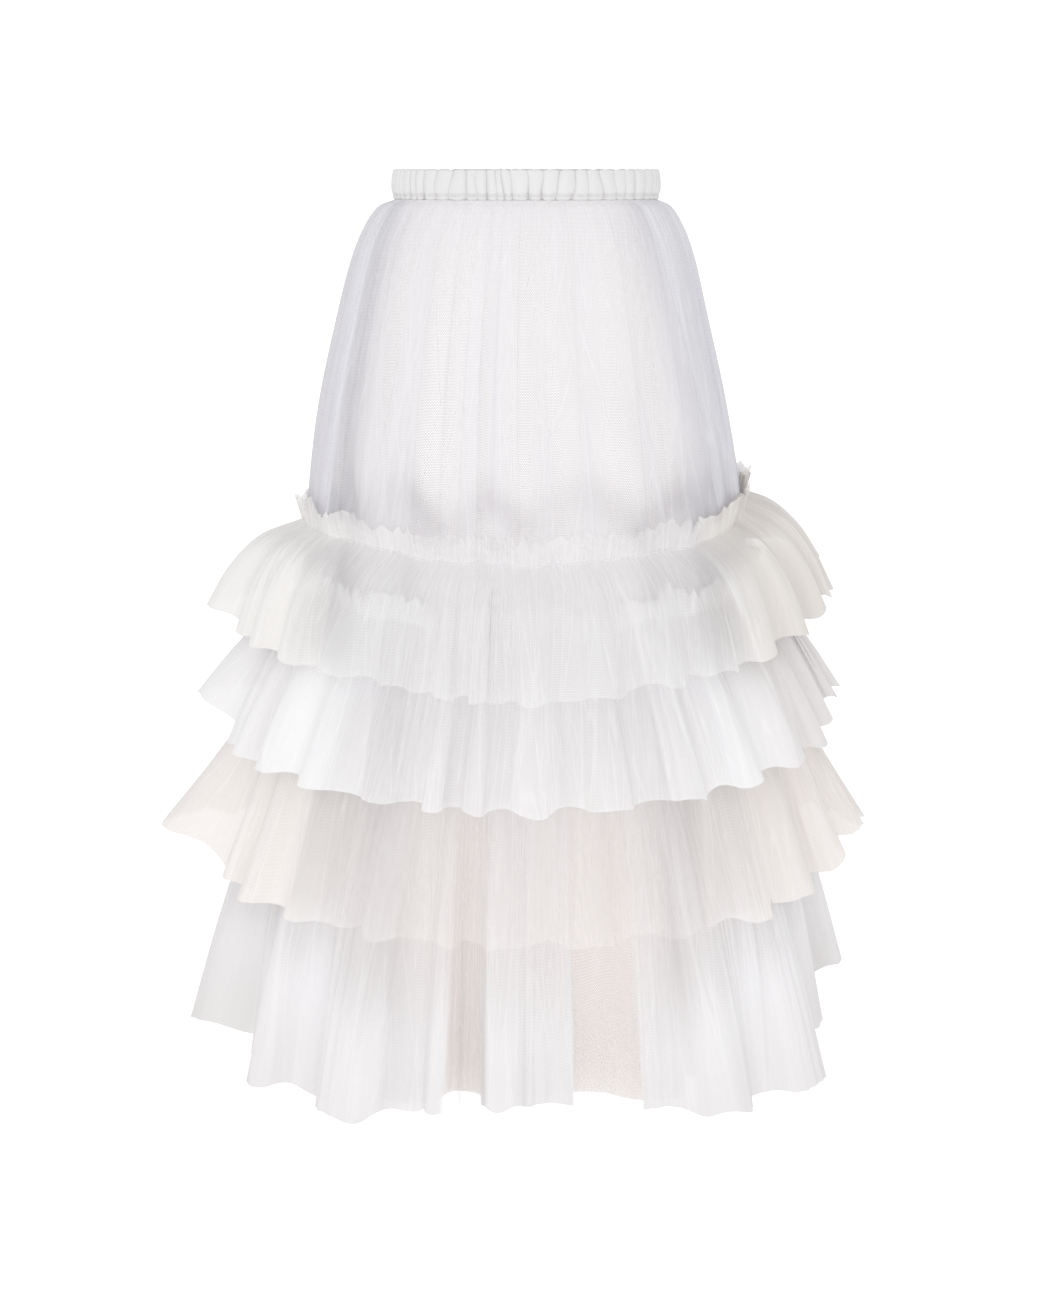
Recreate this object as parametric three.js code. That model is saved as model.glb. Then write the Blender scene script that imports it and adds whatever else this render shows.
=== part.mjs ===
// A worn tiered ruffle skirt: an elastic waistband, a tulle overskirt that carries four gathered
// tulle ruffles, and a satin slip inside. The skirt hangs open and hollow, as it does on its wearer.
// Millimetres, +Z up. The origin is the middle of the waist, the front faces -Y, and an azimuth
// is 0 at the front, 90 at the skirt's +X side, 180 at the back and -90 at its -X side.
import * as THREE from "three";

// Driving sizes.
const TULLE = 1.2; // wall of each net layer, as modelled
const SATIN = 1.2; // wall of the slip
const CASING = 3.5; // the waistband: two layers of cloth round its elastic
const SEAM_GAP = 0.3; // clear space between two pieces that are sewn together
const BAND_HEIGHT = 27;
const BAND_HALF_WIDTH = 122.3;
const BAND_HALF_DEPTH = 89;
const BAND_BULGE = 1.6; // how far the elastic pushes the middle of the casing out
const PUCKER_HEIGHT = 1.6; // ridges that the elastic gathers into the casing
const PUCKERS = 40;
const HEADER_HEIGHT = 27; // net that stands above a ruffle's stitch line
const HEADER_OUT = 7;
const HEADER_FOLD = 3;
const STITCH_FOLD = 0.8; // what is left of a ruffle's folds at its stitch line

const NET_COLUMNS = 120; // points round each net layer, shared so that sewn layers run parallel
const SLIP_COLUMNS = 60;
const BAND_COLUMNS = 160;
const OVERSKIRT_FOLDS = 24;
const SLIP_FOLDS = 12;

// The gathers are uneven: this bunches and spreads the columns round the skirt, and is zero at
// both side seams.
const SPREAD = [
  { times: 3, by: 0.05 },
  { times: 4, by: -0.045 },
  { times: 7, by: 0.035 },
];
// Height of one fold after another, as a share of the section's own fold height.
const FOLD_SHARES = [1, 0.7, 1.2, 0.85, 1.1, 0.6, 1.25];

// Each ring of the overskirt is lifted by a share of its own lift, most at the back of the +X side.
const LIFT = [
  { azimuth: -180, share: 0.7 },
  { azimuth: -90, share: 0.3 },
  { azimuth: 0, share: 0 },
  { azimuth: 55, share: 0.15 },
  { azimuth: 105, share: 0.9 },
  { azimuth: 135, share: 1 },
];

// Rings of the overskirt from the waist down, with the distance from the axis to the sides, the
// front and the back. shift moves a ring along X. The last four are the ruffles' stitch lines.
const OVERSKIRT = [
  { z: -13.8, halfWidth: 121, front: 88.5, back: 88.5, shift: 0, lift: 0, fold: 0 },
  { z: -24, halfWidth: 137, front: 101, back: 103, shift: -1, lift: 0, fold: 1.5 },
  { z: -60, halfWidth: 154, front: 116, back: 121, shift: -2, lift: 0, fold: 2.5 },
  { z: -125, halfWidth: 170, front: 131, back: 138, shift: -3, lift: 0, fold: 3.5 },
  { z: -215, halfWidth: 188, front: 151, back: 157, shift: -3, lift: 10, fold: 4 },
  { z: -325, halfWidth: 202, front: 172, back: 177, shift: -2, lift: 44, fold: 2.5 },
  { z: -383, halfWidth: 209, front: 181, back: 186, shift: -1, lift: 30, fold: 2.5 },
  { z: -460, halfWidth: 217, front: 190, back: 195, shift: 0, lift: 24, fold: 2.5 },
  { z: -530, halfWidth: 224, front: 198, back: 203, shift: 0, lift: 20, fold: 2.5 },
];

// Rings of the slip from the waist to its hem, in the same terms.
const SLIP = [
  { z: -13.8, halfWidth: 119.3, front: 86.8, back: 86.8, shift: 0, lift: 0, fold: 0 },
  { z: -60, halfWidth: 137, front: 100, back: 105, shift: 0, lift: 0, fold: 0.5 },
  { z: -130, halfWidth: 154, front: 117, back: 126, shift: 0, lift: 0, fold: 1 },
  { z: -230, halfWidth: 168, front: 134, back: 145, shift: 0, lift: 0, fold: 2.5 },
  { z: -340, halfWidth: 180, front: 150, back: 159, shift: 0, lift: 0, fold: 6 },
  { z: -470, halfWidth: 193, front: 166, back: 172, shift: 0, lift: 0, fold: 11 },
  { z: -640, halfWidth: 212, front: 186, back: 189, shift: 0, lift: 0, fold: 17 },
  { z: -812, halfWidth: 230, front: 207, back: 208, shift: 0, lift: 0, fold: 24 },
];

// Each ruffle: the overskirt ring it is stitched to, how many folds run round it and how high they
// are at the hem, and its hem: the distance from the axis, between ridge and trough, and the height.
// In profile, toHem is the share of the way out to the hem, drop the share of the way down.
const RUFFLES = [
  {
    name: "ruffle_1",
    stitchedTo: 5,
    folds: 30,
    foldAtHem: 10,
    header: true,
    profile: [
      { toHem: 0, drop: 0, fold: 0 },
      { toHem: 0.46, drop: 0.2, fold: 0.35 },
      { toHem: 0.78, drop: 0.56, fold: 0.7 },
      { toHem: 1, drop: 1, fold: 1 },
    ],
    hem: [
      { azimuth: -180, reach: 268, z: -385 },
      { azimuth: -135, reach: 277, z: -392 },
      { azimuth: -93, reach: 290, z: -391 },
      { azimuth: -72, reach: 264, z: -412 },
      { azimuth: -45, reach: 262, z: -424 },
      { azimuth: 0, reach: 262, z: -442 },
      { azimuth: 45, reach: 262, z: -424 },
      { azimuth: 74, reach: 260, z: -406 },
      { azimuth: 92, reach: 281, z: -382 },
      { azimuth: 116, reach: 292, z: -345 },
      { azimuth: 150, reach: 276, z: -362 },
    ],
  },
  {
    name: "ruffle_2",
    stitchedTo: 6,
    folds: 30,
    foldAtHem: 12,
    header: true,
    profile: [
      { toHem: 0, drop: 0, fold: 0 },
      { toHem: 0.36, drop: 0.3, fold: 0.35 },
      { toHem: 0.7, drop: 0.65, fold: 0.7 },
      { toHem: 1, drop: 1, fold: 1 },
    ],
    hem: [
      { azimuth: -180, reach: 285, z: -505 },
      { azimuth: -135, reach: 297, z: -502 },
      { azimuth: -92, reach: 298, z: -475 },
      { azimuth: -76, reach: 276, z: -512 },
      { azimuth: -52, reach: 286, z: -517 },
      { azimuth: -28, reach: 290, z: -527 },
      { azimuth: 0, reach: 288, z: -533 },
      { azimuth: 28, reach: 290, z: -527 },
      { azimuth: 57, reach: 290, z: -512 },
      { azimuth: 78, reach: 272, z: -505 },
      { azimuth: 94, reach: 288, z: -472 },
      { azimuth: 140, reach: 290, z: -492 },
    ],
  },
  {
    name: "ruffle_3",
    stitchedTo: 7,
    folds: 24,
    foldAtHem: 13,
    header: false,
    profile: [
      { toHem: 0, drop: 0, fold: 0 },
      { toHem: 0.34, drop: 0.3, fold: 0.3 },
      { toHem: 0.67, drop: 0.66, fold: 0.65 },
      { toHem: 1, drop: 1, fold: 1 },
    ],
    hem: [
      { azimuth: -180, reach: 303, z: -632 },
      { azimuth: -135, reach: 314, z: -632 },
      { azimuth: -92, reach: 336, z: -600 },
      { azimuth: -74, reach: 284, z: -636 },
      { azimuth: -50, reach: 286, z: -645 },
      { azimuth: 0, reach: 283, z: -652 },
      { azimuth: 50, reach: 284, z: -645 },
      { azimuth: 76, reach: 280, z: -636 },
      { azimuth: 93, reach: 316, z: -602 },
      { azimuth: 135, reach: 312, z: -622 },
    ],
  },
  {
    name: "ruffle_4",
    stitchedTo: 8,
    folds: 20,
    foldAtHem: 17,
    header: false,
    profile: [
      { toHem: 0, drop: 0, fold: 0 },
      { toHem: 0.38, drop: 0.3, fold: 0.3 },
      { toHem: 0.72, drop: 0.65, fold: 0.65 },
      { toHem: 1, drop: 1, fold: 1 },
    ],
    hem: [
      { azimuth: -180, reach: 285, z: -802 },
      { azimuth: -135, reach: 300, z: -802 },
      { azimuth: -93, reach: 303, z: -790 },
      { azimuth: -74, reach: 258, z: -800 },
      { azimuth: -52, reach: 290, z: -804 },
      { azimuth: -30, reach: 302, z: -810 },
      { azimuth: -12, reach: 258, z: -803 },
      { azimuth: 12, reach: 258, z: -803 },
      { azimuth: 31, reach: 302, z: -808 },
      { azimuth: 54, reach: 314, z: -804 },
      { azimuth: 76, reach: 262, z: -785 },
      { azimuth: 93, reach: 290, z: -730 },
      { azimuth: 138, reach: 296, z: -784 },
    ],
  },
];

const COLOURS = {
  casing: { color: 0xf1f0f0, roughness: 0.7 },
  satin: { color: 0xf3f0ee, roughness: 0.45 },
  coolNet: { color: 0xf0f0f5, roughness: 0.85 },
  ivoryNet: { color: 0xf3f1ec, roughness: 0.85 },
};

// Azimuth of a column, in radians, from the -X side seam round the front.
function azimuthOf(column, columns) {
  const round = (2 * Math.PI * column) / columns;
  const shift = SPREAD.reduce((sum, s) => sum + s.by * Math.sin(s.times * round), 0);
  return round + shift - Math.PI / 2;
}

// Height of the folds at a column, from -1 in a trough to about 1.25 on a ridge.
function foldWave(column, columns, folds) {
  const turn = (column * folds) / columns;
  const share = FOLD_SHARES[Math.floor(turn + 0.5) % FOLD_SHARES.length];
  return Math.cos(2 * Math.PI * turn) * share;
}

// The level direction that points straight out of an oval ring at an azimuth.
function outward(ring, azimuth) {
  const depth = Math.cos(azimuth) > 0 ? ring.front : ring.back;
  const out = new THREE.Vector3(
    Math.sin(azimuth) / ring.halfWidth,
    -Math.cos(azimuth) / depth,
    0,
  );
  return out.normalize();
}

// A point on an oval ring, moved out by some height.
function ringPoint(ring, azimuth, height) {
  const depth = Math.cos(azimuth) > 0 ? ring.front : ring.back;
  const point = new THREE.Vector3(
    ring.shift + ring.halfWidth * Math.sin(azimuth),
    -depth * Math.cos(azimuth),
    ring.z + ring.lift * aroundTable(LIFT, azimuth, "share"),
  );
  return point.addScaledVector(outward(ring, azimuth), height);
}

// A smooth value between the rows of a table that runs once round the skirt.
function aroundTable(table, azimuth, key) {
  const full = 2 * Math.PI;
  const at = table.map((row) => THREE.MathUtils.degToRad(row.azimuth));
  const from = at[0];
  const here = ((((azimuth - from) % full) + full) % full) + from;
  let next = at.findIndex((a) => a > here);
  if (next < 0) next = table.length;
  const end = next === table.length ? from + full : at[next];
  const start = at[next - 1];
  const share = THREE.MathUtils.smoothstep(here, start, end);
  const last = table[next % table.length];
  return THREE.MathUtils.lerp(table[next - 1][key], last[key], share);
}

// The rows of outer points of a tube of cloth that is lofted through rings.
function loftRows(rings, columns, folds) {
  return rings.map((ring) =>
    Array.from({ length: columns }, (_, column) => {
      const height = ring.fold * foldWave(column, columns, folds);
      return ringPoint(ring, azimuthOf(column, columns), height);
    }),
  );
}

// The rows of outer points of a ruffle, made from the overskirt's points at its stitch line.
function ruffleRows(ruffle, overskirtRows) {
  const ring = OVERSKIRT[ruffle.stitchedTo];
  const columns = overskirtRows[ruffle.stitchedTo].map((point, column) => {
    const azimuth = azimuthOf(column, NET_COLUMNS);
    const out = outward(ring, azimuth);
    const wave = foldWave(column, NET_COLUMNS, ruffle.folds);
    const gather = STITCH_FOLD * (1 + wave);
    const stitch = point.clone().addScaledVector(out, SEAM_GAP + TULLE + gather);
    const reach = aroundTable(ruffle.hem, azimuth, "reach");
    const hem = new THREE.Vector3(
      reach * Math.sin(azimuth),
      -reach * Math.cos(azimuth),
      aroundTable(ruffle.hem, azimuth, "z"),
    );
    return { stitch, hem, out, wave };
  });
  const fall = ruffle.profile.map((share) =>
    columns.map(({ stitch, hem, out, wave }) => {
      const point = stitch.clone().lerp(hem, share.toHem);
      point.z = THREE.MathUtils.lerp(stitch.z, hem.z, share.drop);
      return point.addScaledVector(out, share.fold * ruffle.foldAtHem * wave);
    }),
  );
  const header = columns.map(({ stitch, out, wave }) => {
    const point = stitch.clone().addScaledVector(out, HEADER_OUT + HEADER_FOLD * wave);
    point.z += HEADER_HEIGHT;
    return point;
  });
  return ruffle.header ? [header, ...fall] : fall;
}

// The inner points of a wall: each outer point moved in along the surface's own normal.
function innerRows(outer, thickness) {
  const columns = outer[0].length;
  return outer.map((line, r) =>
    line.map((point, c) => {
      const above = outer[Math.max(r - 1, 0)][c];
      const below = outer[Math.min(r + 1, outer.length - 1)][c];
      const down = below.clone().sub(above);
      const along = line[(c + 1) % columns].clone().sub(line[(c - 1 + columns) % columns]);
      const normal = down.cross(along).normalize();
      return point.clone().addScaledVector(normal, -thickness);
    }),
  );
}

// One closed body from the outer and inner points of a wall. A ring joins its last column to its
// first; a panel is closed at both sides.
function wallGeometry(outer, inner, isRing) {
  const rows = outer.length;
  const columns = outer[0].length;
  const positions = [...outer.flat(), ...inner.flat()].flatMap((p) => p.toArray());
  const index = [];
  const out = (r, c) => r * columns + (c % columns);
  const inn = (r, c) => rows * columns + out(r, c);
  const quad = (a, b, c, d) => index.push(a, b, c, a, c, d);
  const bays = isRing ? columns : columns - 1;
  for (let c = 0; c < bays; c++) {
    for (let r = 0; r < rows - 1; r++) {
      quad(out(r, c), out(r + 1, c), out(r + 1, c + 1), out(r, c + 1));
      quad(inn(r, c), inn(r, c + 1), inn(r + 1, c + 1), inn(r + 1, c));
    }
    const last = rows - 1;
    quad(out(0, c), out(0, c + 1), inn(0, c + 1), inn(0, c));
    quad(out(last, c), inn(last, c), inn(last, c + 1), out(last, c + 1));
  }
  if (!isRing) {
    const end = columns - 1;
    for (let r = 0; r < rows - 1; r++) {
      quad(out(r, 0), inn(r, 0), inn(r + 1, 0), out(r + 1, 0));
      quad(out(r, end), out(r + 1, end), inn(r + 1, end), inn(r, end));
    }
  }
  const geometry = new THREE.BufferGeometry();
  geometry.setAttribute("position", new THREE.Float32BufferAttribute(positions, 3));
  geometry.setIndex(index);
  geometry.computeVertexNormals();
  return geometry;
}

function clothMesh(name, geometry, finish) {
  const material = new THREE.MeshStandardMaterial({ ...finish, metalness: 0 });
  const mesh = new THREE.Mesh(geometry, material);
  mesh.name = name;
  return mesh;
}

// The front and back panels of a tube of cloth, which meet at its two side seams.
function frontAndBack(name, outer, thickness, finish) {
  const inner = innerRows(outer, thickness);
  const half = outer[0].length / 2;
  const panel = (rows, first, seamY) =>
    rows.map((line) => {
      const picked = [...line.slice(first), ...line.slice(0, first)].slice(0, half + 1);
      const points = picked.map((p) => p.clone());
      points[0].y = seamY;
      points[half].y = seamY;
      return points;
    });
  const sides = [
    { side: "front", first: 0, seamY: -SEAM_GAP / 2 },
    { side: "back", first: half, seamY: SEAM_GAP / 2 },
  ];
  return sides.map(({ side, first, seamY }) => {
    const skins = [outer, inner].map((rows) => panel(rows, first, seamY));
    return clothMesh(`${name}_${side}`, wallGeometry(...skins, false), finish);
  });
}

// The elastic waistband: a plain inside, and an outside puckered by its elastic.
function waistband() {
  const levels = [
    { z: BAND_HEIGHT / 2, bulge: 0, pucker: 0.45 },
    { z: 0, bulge: BAND_BULGE, pucker: 1 },
    { z: -BAND_HEIGHT / 2, bulge: 0, pucker: 0.3 },
  ];
  const oval = {
    halfWidth: BAND_HALF_WIDTH,
    front: BAND_HALF_DEPTH,
    back: BAND_HALF_DEPTH,
    shift: 0,
    lift: 0,
  };
  const skin = (height) =>
    levels.map((level) =>
      Array.from({ length: BAND_COLUMNS }, (_, column) => {
        const azimuth = azimuthOf(column, BAND_COLUMNS);
        return ringPoint({ ...oval, z: level.z }, azimuth, height(level, column));
      }),
    );
  const outer = skin((level, column) => {
    const wave = foldWave(column, BAND_COLUMNS, PUCKERS);
    return level.bulge + level.pucker * PUCKER_HEIGHT * wave;
  });
  const inner = skin(() => -CASING);
  return clothMesh("waistband", wallGeometry(outer, inner, true), COLOURS.casing);
}

function skirt() {
  const group = new THREE.Group();
  group.add(waistband());
  const slipRows = loftRows(SLIP, SLIP_COLUMNS, SLIP_FOLDS);
  group.add(...frontAndBack("slip", slipRows, SATIN, COLOURS.satin));
  const overskirtRows = loftRows(OVERSKIRT, NET_COLUMNS, OVERSKIRT_FOLDS);
  group.add(...frontAndBack("overskirt", overskirtRows, TULLE, COLOURS.coolNet));
  RUFFLES.forEach((ruffle, tier) => {
    const finish = tier % 2 ? COLOURS.coolNet : COLOURS.ivoryNet;
    const rows = ruffleRows(ruffle, overskirtRows);
    group.add(...frontAndBack(ruffle.name, rows, TULLE, finish));
  });
  return group;
}

export default skirt();
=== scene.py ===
# %% [markdown]
# # A tiered ruffle skirt, dressed in Blender
# The real thing is a white midi skirt: an elastic waistband, a satin slip, and over it an overskirt
# of fine net that carries four gathered net ruffles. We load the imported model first. Its solids are
# plain walls of the right size and place; each one gets replaced here by a sheet of cloth with its
# gathers, and each sheet by its weave, its sheen and its stitches.

# %% Load the frame
import math
from collections import namedtuple

import bpy
import numpy as np
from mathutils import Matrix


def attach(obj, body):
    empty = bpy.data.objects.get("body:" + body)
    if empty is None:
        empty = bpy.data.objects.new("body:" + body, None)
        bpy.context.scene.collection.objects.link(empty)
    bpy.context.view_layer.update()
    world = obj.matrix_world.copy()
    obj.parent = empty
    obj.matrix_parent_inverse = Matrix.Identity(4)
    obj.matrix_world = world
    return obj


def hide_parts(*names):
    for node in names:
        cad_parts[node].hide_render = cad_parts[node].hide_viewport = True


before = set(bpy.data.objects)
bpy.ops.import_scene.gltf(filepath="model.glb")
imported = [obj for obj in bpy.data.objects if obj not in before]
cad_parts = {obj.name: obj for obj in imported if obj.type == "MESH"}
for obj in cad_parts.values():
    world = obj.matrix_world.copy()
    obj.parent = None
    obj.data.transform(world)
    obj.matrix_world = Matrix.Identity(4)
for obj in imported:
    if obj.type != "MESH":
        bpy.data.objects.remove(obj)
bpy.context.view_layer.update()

MM = 0.001

# %% [markdown]
# ## The camera
# The picture was taken from straight ahead, with the lens a few centimetres above the waist and
# tipped down a little, so that the hems of the side folds sit higher than those in front. A long
# lens from three metres keeps the shape calm. The image is 1040 by 1300 points.

# %% Camera
IMAGE_HEIGHT = 1300
FOCAL_POINTS = 3219
CAMERA_DISTANCE = 3.0
CAMERA_HEIGHT = 0.03
CAMERA_ASIDE = -0.0056
CAMERA_TILT = math.radians(8.81)

camera_data = bpy.data.cameras.new("camera")
camera_data.lens = camera_data.sensor_width * FOCAL_POINTS / IMAGE_HEIGHT
camera_data.dof.use_dof = False
camera = bpy.data.objects.new("camera", camera_data)
camera.location = (CAMERA_ASIDE, -CAMERA_DISTANCE, CAMERA_HEIGHT)
camera.rotation_euler = (math.pi / 2 - CAMERA_TILT, 0, 0)
bpy.context.scene.collection.objects.link(camera)
bpy.context.scene.camera = camera
print("lens %.1f mm" % camera_data.lens)

# %% [markdown]
# ## A white studio
# The skirt is white on white, so the light does all the drawing. An even white room gives a base.
# Two large soft lamps in front light the folds evenly: a strong one at the height of the ruffles
# and a weak one high on the left. Weak lamps at the sides reach the ruffles that turn away. The
# sweep behind and below is shown bright, and is hidden from the light that bounces, so that it does
# not wash out the net's edges. White cloth passes light on many times, so the light may bounce more
# often than usual.

# %% Sizes of the studio, and its helpers
ROOM_LIGHT = 0.82
KEY_WATTS = 8
FRONT_WATTS = 28
LEFT_WATTS = 9
RIGHT_WATTS = 13
SWEEP_GLOW = 1.05
FLOOR_HEIGHT = -1.1
SWEEP_BACK = 9
SWEEP_FRONT = -12
SWEEP_WIDTH = 24
SWEEP_BEND = 1.5
SWEEP_TOP = 8


def pale_sweep():
    """A floor that curves up into a wall, as one smooth sheet."""
    turn = [math.radians(a) for a in range(0, 91, 9)]
    profile = [(SWEEP_FRONT, FLOOR_HEIGHT)]
    profile += [
        (SWEEP_BACK + SWEEP_BEND * math.sin(a), FLOOR_HEIGHT + SWEEP_BEND * (1 - math.cos(a)))
        for a in turn
    ]
    profile.append((SWEEP_BACK + SWEEP_BEND, SWEEP_TOP))
    points = [(x, y, z) for y, z in profile for x in (-SWEEP_WIDTH / 2, SWEEP_WIDTH / 2)]
    faces = [(2 * i, 2 * i + 1, 2 * i + 3, 2 * i + 2) for i in range(len(profile) - 1)]
    mesh = bpy.data.meshes.new("sweep")
    mesh.from_pydata(points, [], faces)
    mesh.shade_smooth()
    sweep = bpy.data.objects.new("sweep", mesh)
    bpy.context.scene.collection.objects.link(sweep)
    return sweep


def area_lamp(name, place, aim, size, watts):
    data = bpy.data.lights.new(name, "AREA")
    data.shape = "DISK"
    data.size = size
    data.energy = watts
    lamp = bpy.data.objects.new(name, data)
    lamp.location = place
    direction = np.array(aim) - np.array(place)
    flat = math.hypot(direction[0], direction[1])
    lamp.rotation_euler = (
        math.atan2(flat, -direction[2]),
        0,
        math.atan2(direction[1], direction[0]) - math.pi / 2,
    )
    bpy.context.scene.collection.objects.link(lamp)
    return lamp


print("floor %.1f m below the waist" % -FLOOR_HEIGHT)

# %% [markdown]
# The world is the white room. Each lamp is a disk that points at the skirt. The sweep is stage: it
# belongs to the picture and not to the skirt.

# %% Light and backdrop
world = bpy.data.worlds.new("room")
bpy.context.scene.world = world
world.use_nodes = True
world.node_tree.nodes["Background"].inputs["Color"].default_value = (1, 1, 1, 1)
world.node_tree.nodes["Background"].inputs["Strength"].default_value = ROOM_LIGHT
area_lamp("key", (-2.0, -3.4, 1.4), (0, 0, -0.4), 2.2, KEY_WATTS)
area_lamp("front", (-0.3, -3.9, -0.5), (0, 0, -0.5), 2.6, FRONT_WATTS)
area_lamp("left", (-3.6, -1.6, -0.8), (0, 0, -0.6), 2.0, LEFT_WATTS)
area_lamp("right", (3.6, -1.6, -1.0), (0, 0, -0.6), 2.0, RIGHT_WATTS)

sweep = pale_sweep()
sweep_paint = bpy.data.materials.new("sweep_paint")
sweep_paint.use_nodes = True
paint = sweep_paint.node_tree.nodes["Principled BSDF"]
paint.inputs["Base Color"].default_value = (0.2, 0.2, 0.2, 1)
paint.inputs["Roughness"].default_value = 1
paint.inputs["Emission Color"].default_value = (1, 1, 1, 1)
paint.inputs["Emission Strength"].default_value = SWEEP_GLOW
sweep.data.materials.append(sweep_paint)
sweep.visible_diffuse = False
sweep.visible_glossy = False
sweep.visible_shadow = False
bpy.context.scene.view_settings.view_transform = "Standard"
bpy.context.scene.cycles.transparent_max_bounces = 28
bpy.context.scene.cycles.max_bounces = 11
bpy.context.scene.cycles.diffuse_bounces = 7
print("stage ready")

# %% [markdown]
# ## The cut
# A garment is a set of rings. The tables below are its sizes in millimetres: how far each ring of
# the overskirt and of the slip stands from the wearer's axis, and where each ruffle's hem swings.
# An azimuth is 0 at the front, 90 at +X, 180 at the back. They are the same sizes as those of the
# solids, so each sheet lands on the wall it stands for.

# %% The cut of the skirt
Ring = namedtuple("Ring", "z half_width front back shift lift fold")
Lift = namedtuple("Lift", "azimuth share")
Hem = namedtuple("Hem", "azimuth reach z")
Profile = namedtuple("Profile", "at to_hem drop fold")

LIFTS = [
    Lift(-180, 0.7),
    Lift(-90, 0.3),
    Lift(0, 0),
    Lift(55, 0.15),
    Lift(105, 0.9),
    Lift(135, 1),
]
OVERSKIRT = [
    Ring(-13.8, 121, 88.5, 88.5, 0, 0, 0),
    Ring(-24, 137, 101, 103, -1, 0, 1.5),
    Ring(-60, 154, 116, 121, -2, 0, 2.5),
    Ring(-125, 170, 131, 138, -3, 0, 3.5),
    Ring(-215, 188, 151, 157, -3, 10, 4),
    Ring(-325, 202, 172, 177, -2, 44, 2.5),
    Ring(-383, 209, 181, 186, -1, 30, 2.5),
    Ring(-460, 217, 190, 195, 0, 24, 2.5),
    Ring(-530, 224, 198, 203, 0, 20, 2.5),
]
SLIP = [
    Ring(-13.8, 119.3, 86.8, 86.8, 0, 0, 0),
    Ring(-60, 137, 100, 105, 0, 0, 0.5),
    Ring(-130, 154, 117, 126, 0, 0, 1),
    Ring(-230, 168, 134, 145, 0, 0, 2.5),
    Ring(-340, 180, 150, 159, 0, 0, 6),
    Ring(-470, 193, 166, 172, 0, 0, 11),
    Ring(-640, 212, 186, 189, 0, 0, 17),
    Ring(-812, 230, 207, 208, 0, 0, 24),
]
OVERSKIRT_FOLDS = 24
SLIP_FOLDS = 12
Spread = namedtuple("Spread", "times by")
SPREADS = [Spread(3, 0.05), Spread(4, -0.045), Spread(7, 0.035)]
FOLD_SHARES = np.array([1, 0.7, 1.2, 0.85, 1.1, 0.6, 1.25])
print("%d overskirt rings, %d slip rings" % (len(OVERSKIRT), len(SLIP)))

# %% [markdown]
# ### Reading the tables
# Cloth has no corners, so the rows of a table are joined by smooth curves: round the skirt by one
# that levels out at each row, and down the skirt by one that passes through the rows with a steady
# slope. Folds are not spread evenly either, so equal steps along the cloth are slightly unequal
# steps in azimuth.

# %% Helpers for tables


def column_of(table, key):
    return np.array([getattr(row, key) for row in table], float)


def soft_step(x):
    x = np.clip(x, 0, 1)
    return x * x * (3 - 2 * x)


def azimuth_of(turn):
    """Azimuth in radians of a place on the cloth, from 0 at the -X seam round the front to 1."""
    round_ = 2 * math.pi * turn
    shift = sum(s.by * np.sin(s.times * round_) for s in SPREADS)
    return round_ + shift - math.pi / 2


def around(table, azimuth, key):
    """A smooth value between the rows of a table that runs once round the skirt."""
    full = 2 * math.pi
    at = np.radians(column_of(table, "azimuth"))
    values = column_of(table, key)
    at = np.append(at, at[0] + full)
    values = np.append(values, values[0])
    here = np.mod(azimuth - at[0], full) + at[0]
    row = np.clip(np.searchsorted(at, here, side="right") - 1, 0, len(at) - 2)
    share = soft_step((here - at[row]) / (at[row + 1] - at[row]))
    return values[row] * (1 - share) + values[row + 1] * share


def along(table, key, at, knots):
    """A smooth curve through one column of a table, with no overshoot at its ends."""
    values = column_of(table, key)
    slopes = np.gradient(values, knots)
    row = np.clip(np.searchsorted(knots, at, side="right") - 1, 0, len(knots) - 2)
    gap = knots[row + 1] - knots[row]
    x = (at - knots[row]) / gap
    first = (1 + 2 * x) * (1 - x) ** 2 * values[row] + x * (1 - x) ** 2 * gap * slopes[row]
    second = x**2 * (3 - 2 * x) * values[row + 1] - x**2 * (1 - x) * gap * slopes[row + 1]
    return first + second


print("the front lies at azimuth %.1f" % math.degrees(azimuth_of(0.25)))

# %% [markdown]
# ## Folds, gathers and their unevenness
# Gathered cloth has folds of every size at once. Big flutes swing out at the hem; between them lie
# middling folds; at the stitch line the thread bunches the cloth into fine gathers that die out on
# the way down. None is regular. A wave whose phase wanders and whose height comes and goes gives
# that. A fold also bulges sideways, like the letter omega, so that its edge overlaps the cloth next
# to it: on net this shows as a crisp line, because the cloth lies double there.

# %% Waves


def uneven(turn, seed, slowest, fastest, parts=6):
    """A wavering value of about -1 to 1 that closes on itself round the skirt."""
    chance = np.random.default_rng(seed)
    total = np.zeros_like(turn)
    for _ in range(parts):
        times = chance.integers(slowest, fastest + 1)
        total += np.cos(2 * math.pi * (times * turn + chance.random()))
    return total / math.sqrt(parts / 2) / 1.6


def big_fold(turn, folds):
    """Height and sideways lean of the flutes: ridges are 1 high on average, troughs as deep."""
    place = turn * folds
    first = np.floor(place).astype(int)
    part = soft_step(place - first)
    shares = FOLD_SHARES[first % 7] * (1 - part) + FOLD_SHARES[(first + 1) % 7] * part
    return np.cos(2 * math.pi * place) * shares, np.sin(4 * math.pi * place) * shares


def small_fold(turn, folds, seed, wander):
    """Height and sideways lean of folds whose spacing and height keep changing."""
    place = folds * turn + wander * uneven(turn, seed, 3, 17)
    height = 0.62 + 0.38 * uneven(turn, seed + 1, 9, 41)
    angle = 2 * math.pi * place
    return np.cos(angle) * height, np.sin(2 * angle) * height


def outward(ring, azimuth):
    depth = np.where(np.cos(azimuth) > 0, ring["front"], ring["back"])
    x = np.sin(azimuth) / ring["half_width"]
    y = -np.cos(azimuth) / depth
    size = np.hypot(x, y)
    return np.stack([x / size, y / size, np.zeros_like(x)], -1)


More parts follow.
